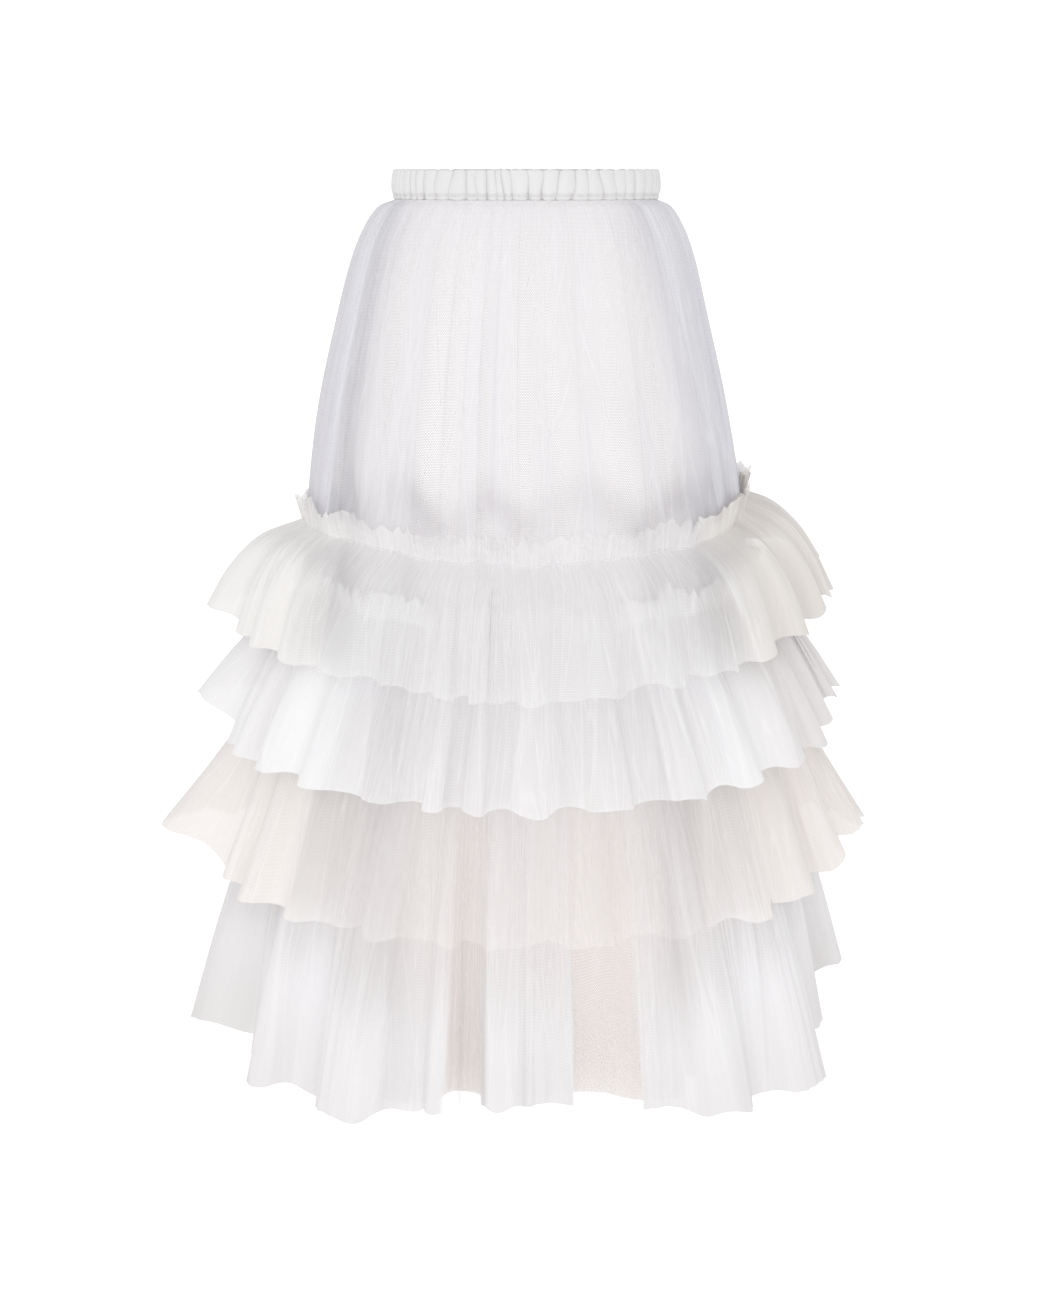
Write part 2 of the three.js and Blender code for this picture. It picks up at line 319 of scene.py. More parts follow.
def ring_points(ring, azimuth):
    depth = np.where(np.cos(azimuth) > 0, ring["front"], ring["back"])
    x = ring["shift"] + ring["half_width"] * np.sin(azimuth)
    z = ring["z"] + ring["lift"] * around(LIFTS, azimuth, "share")
    return np.stack([x, -depth * np.cos(azimuth), z], -1)


def sideways(out):
    return np.stack([-out[..., 1], out[..., 0], np.zeros_like(out[..., 0])], -1)


def moved(points, out, height, lean):
    return points + out * height[..., None] + sideways(out) * lean[..., None]


print("fold height at the front", big_fold(np.array([0.25]), SLIP_FOLDS)[0])

# %% [markdown]
# ## From a grid of points to a sheet of cloth
# Every sheet is one grid: columns run round the skirt and rows run down it. Its UV map is in metres
# of flat cloth, so that a weave has the same size on every piece. A second layer of data, called
# gathered, says how closely the net is bunched: bunched net is denser and whiter. Part of it is
# measured from the folds themselves, as the cloth that lies in each millimetre round the skirt, and
# the rest is added piece by piece further down. Later cells add other layers in the same way.

# %% Sheets
CHORD_COLUMNS = 22


def bunching(points):
    """How much more cloth than way there is round the skirt: 0 where the cloth lies smooth."""
    ahead = np.roll(points, -1, axis=1)
    behind = np.roll(points, 1, axis=1)
    cloth = (np.linalg.norm(ahead - points, axis=2) + np.linalg.norm(points - behind, axis=2)) / 2
    far = np.roll(points, -CHORD_COLUMNS, axis=1) - np.roll(points, CHORD_COLUMNS, axis=1)
    way = np.linalg.norm(far, axis=2) / (2 * CHORD_COLUMNS)
    return np.clip(cloth / way - 1, 0, 1.2)


def add_layer(made, name, values):
    """A named value at every point of a mesh."""
    layer = made.data.attributes.new(name, "FLOAT", "POINT")
    layer.data.foreach_set("value", np.asarray(values).reshape(-1).astype(np.float32))


def sheet_object(name, points, gathered, material, closed_section=False):
    """A ring of cloth from a grid of points in millimetres. Returns it and its flat size."""
    rows, columns = points.shape[:2]
    points = points * MM
    place = np.arange(rows * columns).reshape(rows, columns)
    path = points
    if closed_section:
        place = np.concatenate([place, place[:1]])
        path = np.concatenate([points, points[:1]])
    right = np.roll(place, -1, axis=1)
    faces = np.stack([place[:-1], place[1:], right[1:], right[:-1]], -1).reshape(-1, 4)
    mesh = bpy.data.meshes.new(name)
    mesh.from_pydata(points.reshape(-1, 3).tolist(), [], faces.tolist())
    round_length = np.linalg.norm(np.roll(path, -1, axis=1) - path, axis=2).sum(axis=1)
    down = np.linalg.norm(np.diff(path, axis=0), axis=2).mean(axis=1)
    area = float(((round_length[1:] + round_length[:-1]) / 2 * down).sum())
    flat = (area / float(down.sum()), float(down.sum()))
    u = np.linspace(0, round_length.max(), columns + 1)
    v = -np.concatenate([[0], np.cumsum(down)])
    grid = np.stack(np.broadcast_arrays(u[None, :], v[:, None]), -1)
    corners = [grid[:-1, :-1], grid[1:, :-1], grid[1:, 1:], grid[:-1, 1:]]
    layer = mesh.uv_layers.new(name="flat_cloth")
    layer.data.foreach_set("uv", np.stack(corners, 2).reshape(-1).astype(np.float32))
    mesh.shade_smooth()
    mesh.materials.append(material)
    made = bpy.data.objects.new(name, mesh)
    add_layer(made, "gathered", gathered)
    bpy.context.scene.collection.objects.link(made)
    print("%s: %d faces, flat %.2f x %.2f m, %.2f m2" % (name, len(faces), *flat, area))
    return made, flat


def hand_in(piece, stands_for):
    """Attaches a finished sheet to the root, and hides the solids it stands for."""
    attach(piece, "root")
    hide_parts(*stands_for)


# %% [markdown]
# ## Net
# Bridal net is a honeycomb of threads with more hole than thread. One layer is nearly clear, and four
# layers are nearly white. So the material is white and partly see-through. Its alpha is the sum of
# the threads of the honeycomb, how closely the net is bunched, slow streaks along the gathers, and
# hair-fine creases. A honeycomb has the layout of brickwork, so a brick texture draws it. Gathered
# net is crossed by fine upright creases that catch the light, and their colour is whitened as a
# painted highlight. Each crease is a line along which a noise, stretched down the cloth, passes its
# middle value, and three noises lean a little differently so that the lines cross. Where many layers
# crowd at the sides, little light gets in between them, so painted shade makes the net's colour a
# little grey or warm there. A layer of data called shaded says where. First come the sizes, and
# helpers that every finish below uses.

# %% Sizes of the net, and helpers for finishes
NET_CELL = 0.0016
NET_THREAD = 0.00028
THREAD_ALPHA = 0.13
COOL_WHITE = (0.96, 0.96, 0.975, 1)
DULL_COOL_WHITE = (0.9, 0.895, 0.912, 1)
PALE_IVORY = (0.948, 0.945, 0.94, 1)
WARM_IVORY = (0.982, 0.954, 0.938, 1)
SHADED_WHITE = (0.885, 0.885, 0.928, 1)
WARM_SHADE = (0.81, 0.775, 0.745, 1)
COOL_SHADE = (0.8, 0.785, 0.79, 1)
FOLDED_TINT = (0.935, 0.93, 0.932)
HOLE_SHADE = 0.2
CREASE_GRAINS = [(66, 2.2, 0), (58, 2, 7), (62, 2.4, -8)]
CREASE_WIDTH = 0.02
CREASE_ALPHA = 0.05
CREASE_HIGHLIGHT = 0.35
STREAK_GRAIN = (62, 5)
TINT_GRAIN = (46, 5)
TINT_SPREAD = 1.15


def set_inputs(tree, node, inputs):
    """Sets a node's inputs by name: a socket is linked, and anything else is the value."""
    for name, value in inputs.items():
        if isinstance(value, bpy.types.NodeSocket):
            tree.links.new(value, node.inputs[name])
        else:
            node.inputs[name].default_value = value


def add_node(tree, kind, inputs=None, **settings):
    node = tree.nodes.new(kind)
    for key, value in settings.items():
        setattr(node, key, value)
    set_inputs(tree, node, inputs or {})
    return node


def math_node(tree, operation, first, second=0, clamp=False):
    """A maths node whose two inputs are sockets or plain numbers."""
    node = add_node(tree, "ShaderNodeMath", operation=operation, use_clamp=clamp)
    for socket, value in zip(node.inputs, (first, second)):
        if isinstance(value, (int, float)):
            socket.default_value = value
        else:
            tree.links.new(value, socket)
    return node.outputs[0]


def mixed(tree, first, second, share, **settings):
    """A colour between two. With the blend type MULTIPLY the second one shades the first."""
    inputs = {"A": first, "B": second, "Factor": share}
    return add_node(tree, "ShaderNodeMix", inputs, data_type="RGBA", **settings).outputs["Result"]


def layer(tree, name):
    """A layer of data from the cloth's mesh."""
    return add_node(tree, "ShaderNodeAttribute", attribute_name=name).outputs["Fac"]


def flat_cloth(tree):
    """The place on the flat cloth, in metres."""
    return add_node(tree, "ShaderNodeUVMap", uv_map="flat_cloth").outputs["UV"]


def flat_noise(tree, across, down, detail=2.0, lean=0.0):
    """Noise on the flat cloth. Its grains are stretched by two scales per metre, and may lean."""
    grain = {
        "Vector": flat_cloth(tree),
        "Scale": (1 / across, 1 / down, 1),
        "Rotation": (0, 0, math.radians(lean)),
    }
    place = add_node(tree, "ShaderNodeMapping", grain, vector_type="TEXTURE").outputs["Vector"]
    noise = {"Vector": place, "Scale": 1, "Detail": detail}
    return add_node(tree, "ShaderNodeTexNoise", noise).outputs["Fac"]


print("helpers for finishes ready")

# %% [markdown]
# With the helpers, the net is a short recipe: cells, creases, alpha, colour.

# %% Net
HONEYCOMB = {
    "Scale": 1,
    "Brick Width": NET_CELL,
    "Row Height": NET_CELL * 0.8,
    "Mortar Size": NET_THREAD,
    "Mortar Smooth": 0.4,
}
NET_SHEEN = {
    "Roughness": 0.85,
    "Specular IOR Level": 0.2,
    "Sheen Weight": 0.15,
    "Sheen Roughness": 0.4,
}


def new_finish(name):
    material = bpy.data.materials.new(name)
    material.use_nodes = True
    return material, material.node_tree, material.node_tree.nodes["Principled BSDF"]


def fine_creases(tree):
    """1 on hair-fine creases that cross, and 0 between them."""
    lines = 0.0
    for across, down, lean in CREASE_GRAINS:
        noise = flat_noise(tree, across, down, detail=1.0, lean=lean)
        away = math_node(tree, "ABSOLUTE", math_node(tree, "SUBTRACT", noise, 0.5))
        away = math_node(tree, "DIVIDE", away, CREASE_WIDTH)
        line = math_node(tree, "SUBTRACT", 1.0, away, clamp=True)
        lines = math_node(tree, "ADD", line, lines, clamp=True)
    return lines


def net_material(name, white, open_alpha, shade_tone=WARM_SHADE, bunch_alpha=0.3, streak=0.12):
    material, tree, shader = new_finish(name)
    cells = {"Vector": flat_cloth(tree), **HONEYCOMB}
    threads = add_node(tree, "ShaderNodeTexBrick", cells, offset=0.5).outputs["Fac"]
    creases = fine_creases(tree)

    streaks = math_node(tree, "SUBTRACT", flat_noise(tree, *STREAK_GRAIN), 0.5)
    alpha = math_node(tree, "MULTIPLY", threads, THREAD_ALPHA)
    alpha = math_node(tree, "ADD", alpha, open_alpha)
    bunched = math_node(tree, "MULTIPLY", layer(tree, "gathered"), bunch_alpha)
    alpha = math_node(tree, "ADD", alpha, bunched)
    alpha = math_node(tree, "ADD", alpha, math_node(tree, "MULTIPLY", creases, CREASE_ALPHA))
    streaks = math_node(tree, "MULTIPLY", streaks, streak)
    alpha = math_node(tree, "ADD", alpha, streaks, clamp=True)

    folded = tuple(c * t for c, t in zip(white, FOLDED_TINT)) + (1,)
    whiter = math_node(tree, "MULTIPLY", flat_noise(tree, *TINT_GRAIN, detail=3.0), TINT_SPREAD)
    # Painted highlight: along the fine creases the colour is pushed towards white.
    crease_highlight = math_node(tree, "MULTIPLY", creases, CREASE_HIGHLIGHT)
    whiter = math_node(tree, "ADD", whiter, crease_highlight, clamp=True)
    colour = mixed(tree, folded, white, whiter)
    holes = math_node(tree, "SUBTRACT", 1.0, threads)
    holes = math_node(tree, "MULTIPLY", holes, HOLE_SHADE)
    # The shaded layer is painted shade. It and the holes between the threads darken the colour
    # towards the shade tone.
    shading = math_node(tree, "ADD", layer(tree, "shaded"), holes, clamp=True)
    colour = mixed(tree, colour, shade_tone, shading, blend_type="MULTIPLY")
    set_inputs(tree, shader, {"Alpha": alpha, "Base Color": colour, **NET_SHEEN})
    return material


NET_FINISHES = {
    "overskirt": net_material("overskirt_net", SHADED_WHITE, 0.24, COOL_SHADE, streak=0.05),
    "ruffle_1": net_material("upper_ivory_net", PALE_IVORY, 0.29),
    "ruffle_2": net_material("upper_cool_net", COOL_WHITE, 0.4),
    "ruffle_3": net_material("lower_ivory_net", WARM_IVORY, 0.1),
    "ruffle_4": net_material("lower_cool_net", DULL_COOL_WHITE, 0.34),
}
print("net materials ready")

# %% [markdown]
# ## Satin
# Satin floats its threads on one side, so light slides along them: it has a soft broad sheen. The
# slip is ivory. The weave itself is far too fine to see, so it is a faint bump, with a slow
# unevenness in the gloss where the cloth has been handled. Little light gets down into a crease, so
# painted shade darkens the satin's colour there, as told by a layer of data called crease_shade.
# Another, called net_tinted_light, says where light has come through ivory net before it lands, and
# tints the satin a little with that painted light.

# %% Satin material
SATIN_IVORY = (0.965, 0.938, 0.922, 1)
CASING_WHITE = (0.8, 0.797, 0.8, 1)
WEAVE_PER_METRE = 1400
CREASE_SHADE_TONE = (0.72, 0.7, 0.72, 1)
TINTED_LIGHT_TONE = (1, 0.97, 0.953, 1)


def satin_material(name, colour, roughness, sheen):
    material, tree, shader = new_finish(name)
    floats = {"Vector": flat_cloth(tree), "Scale": WEAVE_PER_METRE, "Distortion": 0.6}
    weave = add_node(
        tree, "ShaderNodeTexWave", floats, wave_type="BANDS", bands_direction="DIAGONAL"
    )
    relief = {"Strength": 0.05, "Distance": 0.0002, "Height": weave.outputs["Fac"]}
    handled = flat_noise(tree, 9, 4, detail=3.0)
    gloss = math_node(tree, "MULTIPLY", handled, 0.2)
    duller = tuple(0.96 * c for c in colour[:3]) + (1,)
    tone = mixed(tree, duller, colour, handled)
    # Painted light and shade: a warm tint where light has come through ivory net, and painted shade
    # in the creases.
    tone = mixed(tree, tone, TINTED_LIGHT_TONE, layer(tree, "net_tinted_light"), blend_type="MULTIPLY")
    tone = mixed(tree, tone, CREASE_SHADE_TONE, layer(tree, "crease_shade"), blend_type="MULTIPLY")
    set_inputs(tree, shader, {
        "Base Color": tone,
        "Roughness": math_node(tree, "ADD", gloss, roughness - 0.1),
        "Normal": add_node(tree, "ShaderNodeBump", relief).outputs["Normal"],
        "Sheen Weight": sheen,
        "Sheen Roughness": 0.3,
    })
    return material


slip_satin = satin_material("slip_satin", SATIN_IVORY, 0.42, 0.25)
casing_satin = satin_material("casing_satin", CASING_WHITE, 0.5, 0.2)
print("satin materials ready")

# %% [markdown]
# ## The slip
# A bias-cut slip hangs close at the hip and falls into a few deep, round folds at the hem. It shows
# through the net as soft light and shade, so its folds matter although nothing of it is bare. Where
# the ruffles pull it in, the cloth above bulges a little and turns under, and painted shade darkens
# its colour in that turn. Lower down it lies behind ivory net, and a painted tint stands for the warm
# light that comes through that net.

# %% Slip
SLIP_COLUMNS = 480
SLIP_ROWS = 90
SLIP_BULGE = 9.0
BULGE_HEIGHT = -232
BULGE_SPREAD = 42
TUCK_HEIGHT = -292
TUCK_SPREAD = 20
TUCK_SHARE = 1.3
TUCK_SHADE = 0.7
TINTED_LIGHT_FROM = -360
TINTED_LIGHT_OVER = 200


def rings_at(table, share):
    """All the measures of a garment's rings at shares of its way down, as columns of a grid."""
    knots = np.linspace(0, 1, len(table))
    return {key: along(table, key, share, knots)[:, None] for key in Ring._fields}


turn = np.arange(SLIP_COLUMNS)[None, :] / SLIP_COLUMNS
ring = rings_at(SLIP, np.linspace(0, 1, SLIP_ROWS))
azimuth = np.broadcast_to(azimuth_of(turn), (SLIP_ROWS, SLIP_COLUMNS))
out = outward(ring, azimuth)
height, lean = big_fold(turn, SLIP_FOLDS)
deep = ring["fold"] * height
drape = 0.12 * ring["fold"] * uneven(turn, 11, 14, 30)
level = ring["z"] - 12 * uneven(turn, 14, 5, 12)
bulge = SLIP_BULGE * np.exp(-(((level - BULGE_HEIGHT) / BULGE_SPREAD) ** 2))
tuck = TUCK_SHARE * SLIP_BULGE * np.exp(-(((level - TUCK_HEIGHT) / TUCK_SPREAD) ** 2))
puff = (bulge - tuck) * (0.75 + 0.25 * uneven(turn, 12, 4, 9))
points = moved(ring_points(ring, azimuth), out, deep + drape + puff, 0.25 * ring["fold"] * lean)
smooth = np.zeros(azimuth.shape)
slip, slip_flat = sheet_object("satin_slip", points, smooth, slip_satin)
# Painted shade in the turn of the tuck.
in_tuck = np.exp(-(((level - TUCK_HEIGHT) / 17) ** 2)) * (0.75 + 0.35 * uneven(turn, 15, 4, 14))
add_layer(slip, "crease_shade", np.clip(TUCK_SHADE * in_tuck, 0, 1))
# Painted tint of the light that comes through ivory net, stronger lower down.
net_tinted_light = soft_step((TINTED_LIGHT_FROM - ring["z"]) / TINTED_LIGHT_OVER)
add_layer(slip, "net_tinted_light", np.broadcast_to(net_tinted_light, azimuth.shape))
hand_in(slip, ["slip_front", "slip_back"])
slip_hem_line = points[-3] * MM

# %% [markdown]
# ## The overskirt
# Two panels of net are gathered into the waist. Above the ruffles they are the part that shows best.
# The fine gathers start at the waist seam and fade in about a hand's breadth. A few long creases go
# all the way down, and are placed in this table: each runs from one azimuth at the top to another at
# the foot, stands out by its depth, is crisp on one side and fades on the other over some degrees.
# The edge of the front panel folds over at both sides, so the net is double there and shows as a
# paler band. Beyond it the net lies in many layers, so it is denser, and painted shade darkens its
# colour.

# %% Sizes of the overskirt
NET_COLUMNS = 1200
OVERSKIRT_ROWS = 56
WAIST_GATHERS = 150
WAIST_GATHER_DEPTH = 0.8
MIDDLE_FOLDS = 44
MIDDLE_DEPTH = 0.6
BROAD_DENSITY = 0.22

Edge = namedtuple("Edge", "top foot start end fade side depth dense")
YOKE_EDGES = [
    Edge(-68, -62, 0.02, 1, 5, 1, 2.2, 0.5),
    Edge(-37, -45, 0.35, 1, 6, 1, 1.6, 0.3),
    Edge(-35, -34, 0.55, 1, 3, -1, 1.4, 0.35),
    Edge(-14, -21, 0.33, 0.96, 5, 1, 1.8, 0.4),
    Edge(-7, -6, 0.6, 1, 3, 1, 1.2, 0.35),
    Edge(3, 7, 0.3, 0.85, 3, -1, 1.2, 0.3),
    Edge(8, 8, 0.58, 1, 4, -1, 2.0, 0.55),
    Edge(18, 19, 0.55, 1, 3, -1, 1.8, 0.5),
    Edge(33, 40, 0.3, 1, 5, -1, 1.8, 0.35),
    Edge(36, 39, 0.5, 1, 2, 1, 1.2, 0.3),
    Edge(51, 64, 0.02, 1, 5, -1, 2.2, 0.5),
    Edge(-100, -104, 0.1, 1, 5, -1, 1.8, 0.3),
    Edge(-128, -124, 0.2, 1, 6, 1, 2.0, 0.4),
    Edge(-160, -168, 0.35, 1, 4, 1, 1.6, 0.4),
    Edge(172, 170, 0.5, 1, 4, -1, 1.8, 0.5),
    Edge(148, 154, 0.3, 1, 5, 1, 1.6, 0.35),
    Edge(118, 110, 0.15, 1, 6, -1, 2.0, 0.4),
]
Panel = namedtuple("Panel", "top_left top_right foot_left foot_right")
FRONT_PANEL = Panel(-68, 51, -62, 64)
Band = namedtuple("Band", "panel density")
YOKE_BANDS = [Panel(-68, -52, -62, -35), Panel(44, 51, 46, 64)]
BAND_DENSITY = 0.45
STRIP_DENSITY = 1.5
STRIP_SHADE = 0.38
SIDE_SEAMS = (-90, 90)
WAIST_SEAM = -13.8
YOKE_FOOT = -335
print("%d creases placed by hand" % len(YOKE_EDGES))

# %% [markdown]
# ### How a listed fold, a panel and a side seam are told to the cloth
# These helpers turn the tables into numbers at each point: how far a crease lifts the cloth, and
# how much denser or more shaded the net is. The ruffles use them too.

# %% Helpers for listed folds
CRISP_EDGE = 0.45
SEAM_EDGE = 0.7
SEAM_DENSITY = 0.4


def degrees_apart(azimuth, degrees):
    apart = np.degrees(azimuth) - degrees
    return np.mod(apart + 180, 360) - 180


def fold_edges(azimuth, way, edges):
    """Height and density that listed folds add: crisp on one side, fading on the other."""
    shape = np.broadcast_shapes(azimuth.shape, way.shape)
    rise, dense = np.zeros(shape), np.zeros(shape)
    for edge in edges:
        part = np.clip((way - edge.start) / (edge.end - edge.start), 0, 1)
        middle = edge.top + part * (edge.foot - edge.top)
        apart = edge.side * degrees_apart(azimuth, middle)
        crisp = np.exp(-((apart / CRISP_EDGE) ** 2))
        near = np.where(apart > 0, np.exp(-apart / edge.fade), crisp)
        shows = soft_step((way - edge.start) / 0.12) * soft_step((edge.end + 0.1 - way) / 0.1)
        rise += edge.depth * near * shows
        dense += edge.dense * (0.65 * near + 0.35 * crisp) * shows
    return rise, dense


def inside_panel(azimuth, way, panel, soft=0.7):
    """1 between a panel's two edges and 0 outside them, with edges some degrees soft."""
    left = panel.top_left + way * (panel.foot_left - panel.top_left)
    right = panel.top_right + way * (panel.foot_right - panel.top_right)
    here = degrees_apart(azimuth, 0)
    return soft_step((here - left) / soft) * soft_step((right - here) / soft)


def side_density(azimuth, left, right, start=38):
    """Net lies double in the side seams, and is pushed closer from there all over the back."""
    seams = [degrees_apart(azimuth, seam) for seam in SIDE_SEAMS]
    narrow = sum(np.exp(-((apart / SEAM_EDGE) ** 2)) for apart in seams)
    amount = left + (right - left) * (1 + np.sin(azimuth)) / 2
    from_front = np.abs(degrees_apart(azimuth, 0))
    return SEAM_DENSITY * narrow + amount * soft_step((from_front - start) / 20)


def side_shade(azimuth, left, right):
    """Painted shade in the net's colour: one share at the left and another at the right, none in
    front.
    """
    amount = left + (right - left) * (1 + np.sin(azimuth)) / 2
    from_front = np.abs(degrees_apart(azimuth, 0))
    return amount * soft_step((from_front - 42) / 22)


print("helpers for folds ready")

# %% [markdown]
# ### The overskirt's sheet
# The rings give the shape. Flutes, middling folds and waist gathers are laid on it as waves, then the
# listed creases. How bunched the net is comes from the same waves, so that a fold which stands out is
# also whiter.

# %% Overskirt
turn = np.arange(NET_COLUMNS)[None, :] / NET_COLUMNS
ring = rings_at(OVERSKIRT, np.linspace(0, 1, OVERSKIRT_ROWS))
azimuth = np.broadcast_to(azimuth_of(turn), (OVERSKIRT_ROWS, NET_COLUMNS))
out = outward(ring, azimuth)
fluting, flute_lean = big_fold(turn, OVERSKIRT_FOLDS)
gather, _ = small_fold(turn, WAIST_GATHERS, 21, 1.6)
middling, middling_lean = small_fold(turn, MIDDLE_FOLDS, 23, 2.2)
gather_length = 60 + 40 * uneven(turn, 25, 20, 60)
depth_down = WAIST_SEAM - ring["z"]
fading = np.exp(-((depth_down / gather_length) ** 2)) * soft_step(depth_down / 6 + 0.4)
middle_depth = MIDDLE_DEPTH * soft_step(depth_down / 90)
way = np.clip(ring["z"] / YOKE_FOOT, 0, 1)
rise, crease_density = fold_edges(azimuth, way, YOKE_EDGES)
height = ring["fold"] * fluting + WAIST_GATHER_DEPTH * fading * gather + middle_depth * middling
lean = 0.8 * ring["fold"] * flute_lean + 0.6 * middle_depth * middling_lean
points = moved(ring_points(ring, azimuth), out, height + rise, lean)

broad = uneven(turn, 27, 12, 40) * soft_step(depth_down / 80)
gathered = 0.4 * np.exp(-depth_down / 55) + 0.15 * bunching(points) + crease_density
gathered = gathered + BROAD_DENSITY * broad
behind_panel = 1 - inside_panel(azimuth, way, FRONT_PANEL)
gathered = gathered + STRIP_DENSITY * behind_panel
gathered = gathered + BAND_DENSITY * sum(inside_panel(azimuth, way, band) for band in YOKE_BANDS)
gathered = np.clip(gathered, 0, 2)
# Painted shade: the strips beyond the front panel's edges are darkened in colour, a little more on
# the left.
shaded = STRIP_SHADE * behind_panel * (1 - 0.15 * np.sin(azimuth))
overskirt_net = NET_FINISHES["overskirt"]
overskirt, overskirt_flat = sheet_object("net_overskirt", points, gathered, overskirt_net)
add_layer(overskirt, "shaded", shaded)
stands_for = ["overskirt_front", "overskirt_back"]
hand_in(overskirt, stands_for)

# %% [markdown]
# ## The four ruffles
# Each ruffle is a long straight strip of net, gathered to about half its length on a line of
# stitches. The top two are stitched a thumb's width below their upper edge, so that a frill stands
# up: that is the header. Below the stitches the strip swings out and falls. A row of sizes says
# which ring of the overskirt it is stitched on, how many flutes it has and how deep they are at the
# hem, how many middling folds lie between them, and how far its stitch line sags in front. Its
# profile says how the cloth gets from the stitches to the hem, and its hem how far it reaches.

# %% Sizes of the ruffles
Ruffle = namedtuple(
    "Ruffle", "name ring folds fold_at_hem middle_folds header sag slot seed profile hem"
)
RUFFLES = [
    Ruffle(
        "ruffle_1", 5, 30, 10, 74, True, 8, "net_ivory", 100,
        [Profile(0, 0, 0, 0), Profile(0.33, 0.46, 0.2, 0.35), Profile(0.67, 0.78, 0.56, 0.7),
         Profile(1, 1, 1, 1)],
        [Hem(-180, 268, -385), Hem(-135, 277, -392), Hem(-93, 290, -391), Hem(-72, 264, -412),
         Hem(-45, 262, -424), Hem(0, 262, -442), Hem(45, 262, -424), Hem(74, 260, -406),
         Hem(92, 281, -382), Hem(116, 292, -345), Hem(150, 276, -362)],
    ),
    Ruffle(
        "ruffle_2", 6, 30, 12, 70, True, 10, "net_cool", 200,
        [Profile(0, 0, 0, 0), Profile(0.33, 0.36, 0.3, 0.35), Profile(0.67, 0.7, 0.65, 0.7),
         Profile(1, 1, 1, 1)],
        [Hem(-180, 285, -505), Hem(-135, 297, -502), Hem(-92, 298, -475), Hem(-76, 276, -512),
         Hem(-52, 286, -517), Hem(-28, 290, -527), Hem(0, 288, -533), Hem(28, 290, -527),
         Hem(57, 290, -512), Hem(78, 272, -505), Hem(94, 288, -472), Hem(140, 290, -492)],
    ),
    Ruffle(
        "ruffle_3", 7, 24, 13, 60, False, 0, "net_ivory", 300,
        [Profile(0, 0, 0, 0), Profile(0.33, 0.34, 0.3, 0.3), Profile(0.67, 0.67, 0.66, 0.65),
         Profile(1, 1, 1, 1)],
        [Hem(-180, 303, -632), Hem(-135, 314, -632), Hem(-92, 336, -600), Hem(-74, 284, -636),
         Hem(-50, 286, -645), Hem(0, 283, -652), Hem(50, 284, -645), Hem(76, 280, -636),
         Hem(93, 316, -602), Hem(135, 312, -622)],
    ),
    Ruffle(
        "ruffle_4", 8, 20, 17, 56, False, 0, "net_cool", 400,
        [Profile(0, 0, 0, 0), Profile(0.33, 0.38, 0.3, 0.3), Profile(0.67, 0.72, 0.65, 0.65),
         Profile(1, 1, 1, 1)],
        [Hem(-180, 285, -802), Hem(-135, 300, -802), Hem(-93, 303, -790), Hem(-74, 258, -800),
         Hem(-52, 290, -804), Hem(-30, 302, -810), Hem(-12, 258, -803), Hem(12, 258, -803),
         Hem(31, 302, -808), Hem(54, 314, -804), Hem(76, 262, -785), Hem(93, 290, -730),
         Hem(138, 296, -784)],
    ),
]
print("ruffles", [ruffle.name for ruffle in RUFFLES])

# %% [markdown]
# ### Creases, panels and density
# The long creases of the ruffles are listed in tables too. Bands of azimuth, between two edges, lie
# double and look whiter, or hang open so that the slip shows through. The headers lie thickest at the
# sides of the front. Then each ruffle has its own look: how dense its header, foot, hem and sides
# are, at which azimuth its tips get dense, and how shaded its left and right sides are.

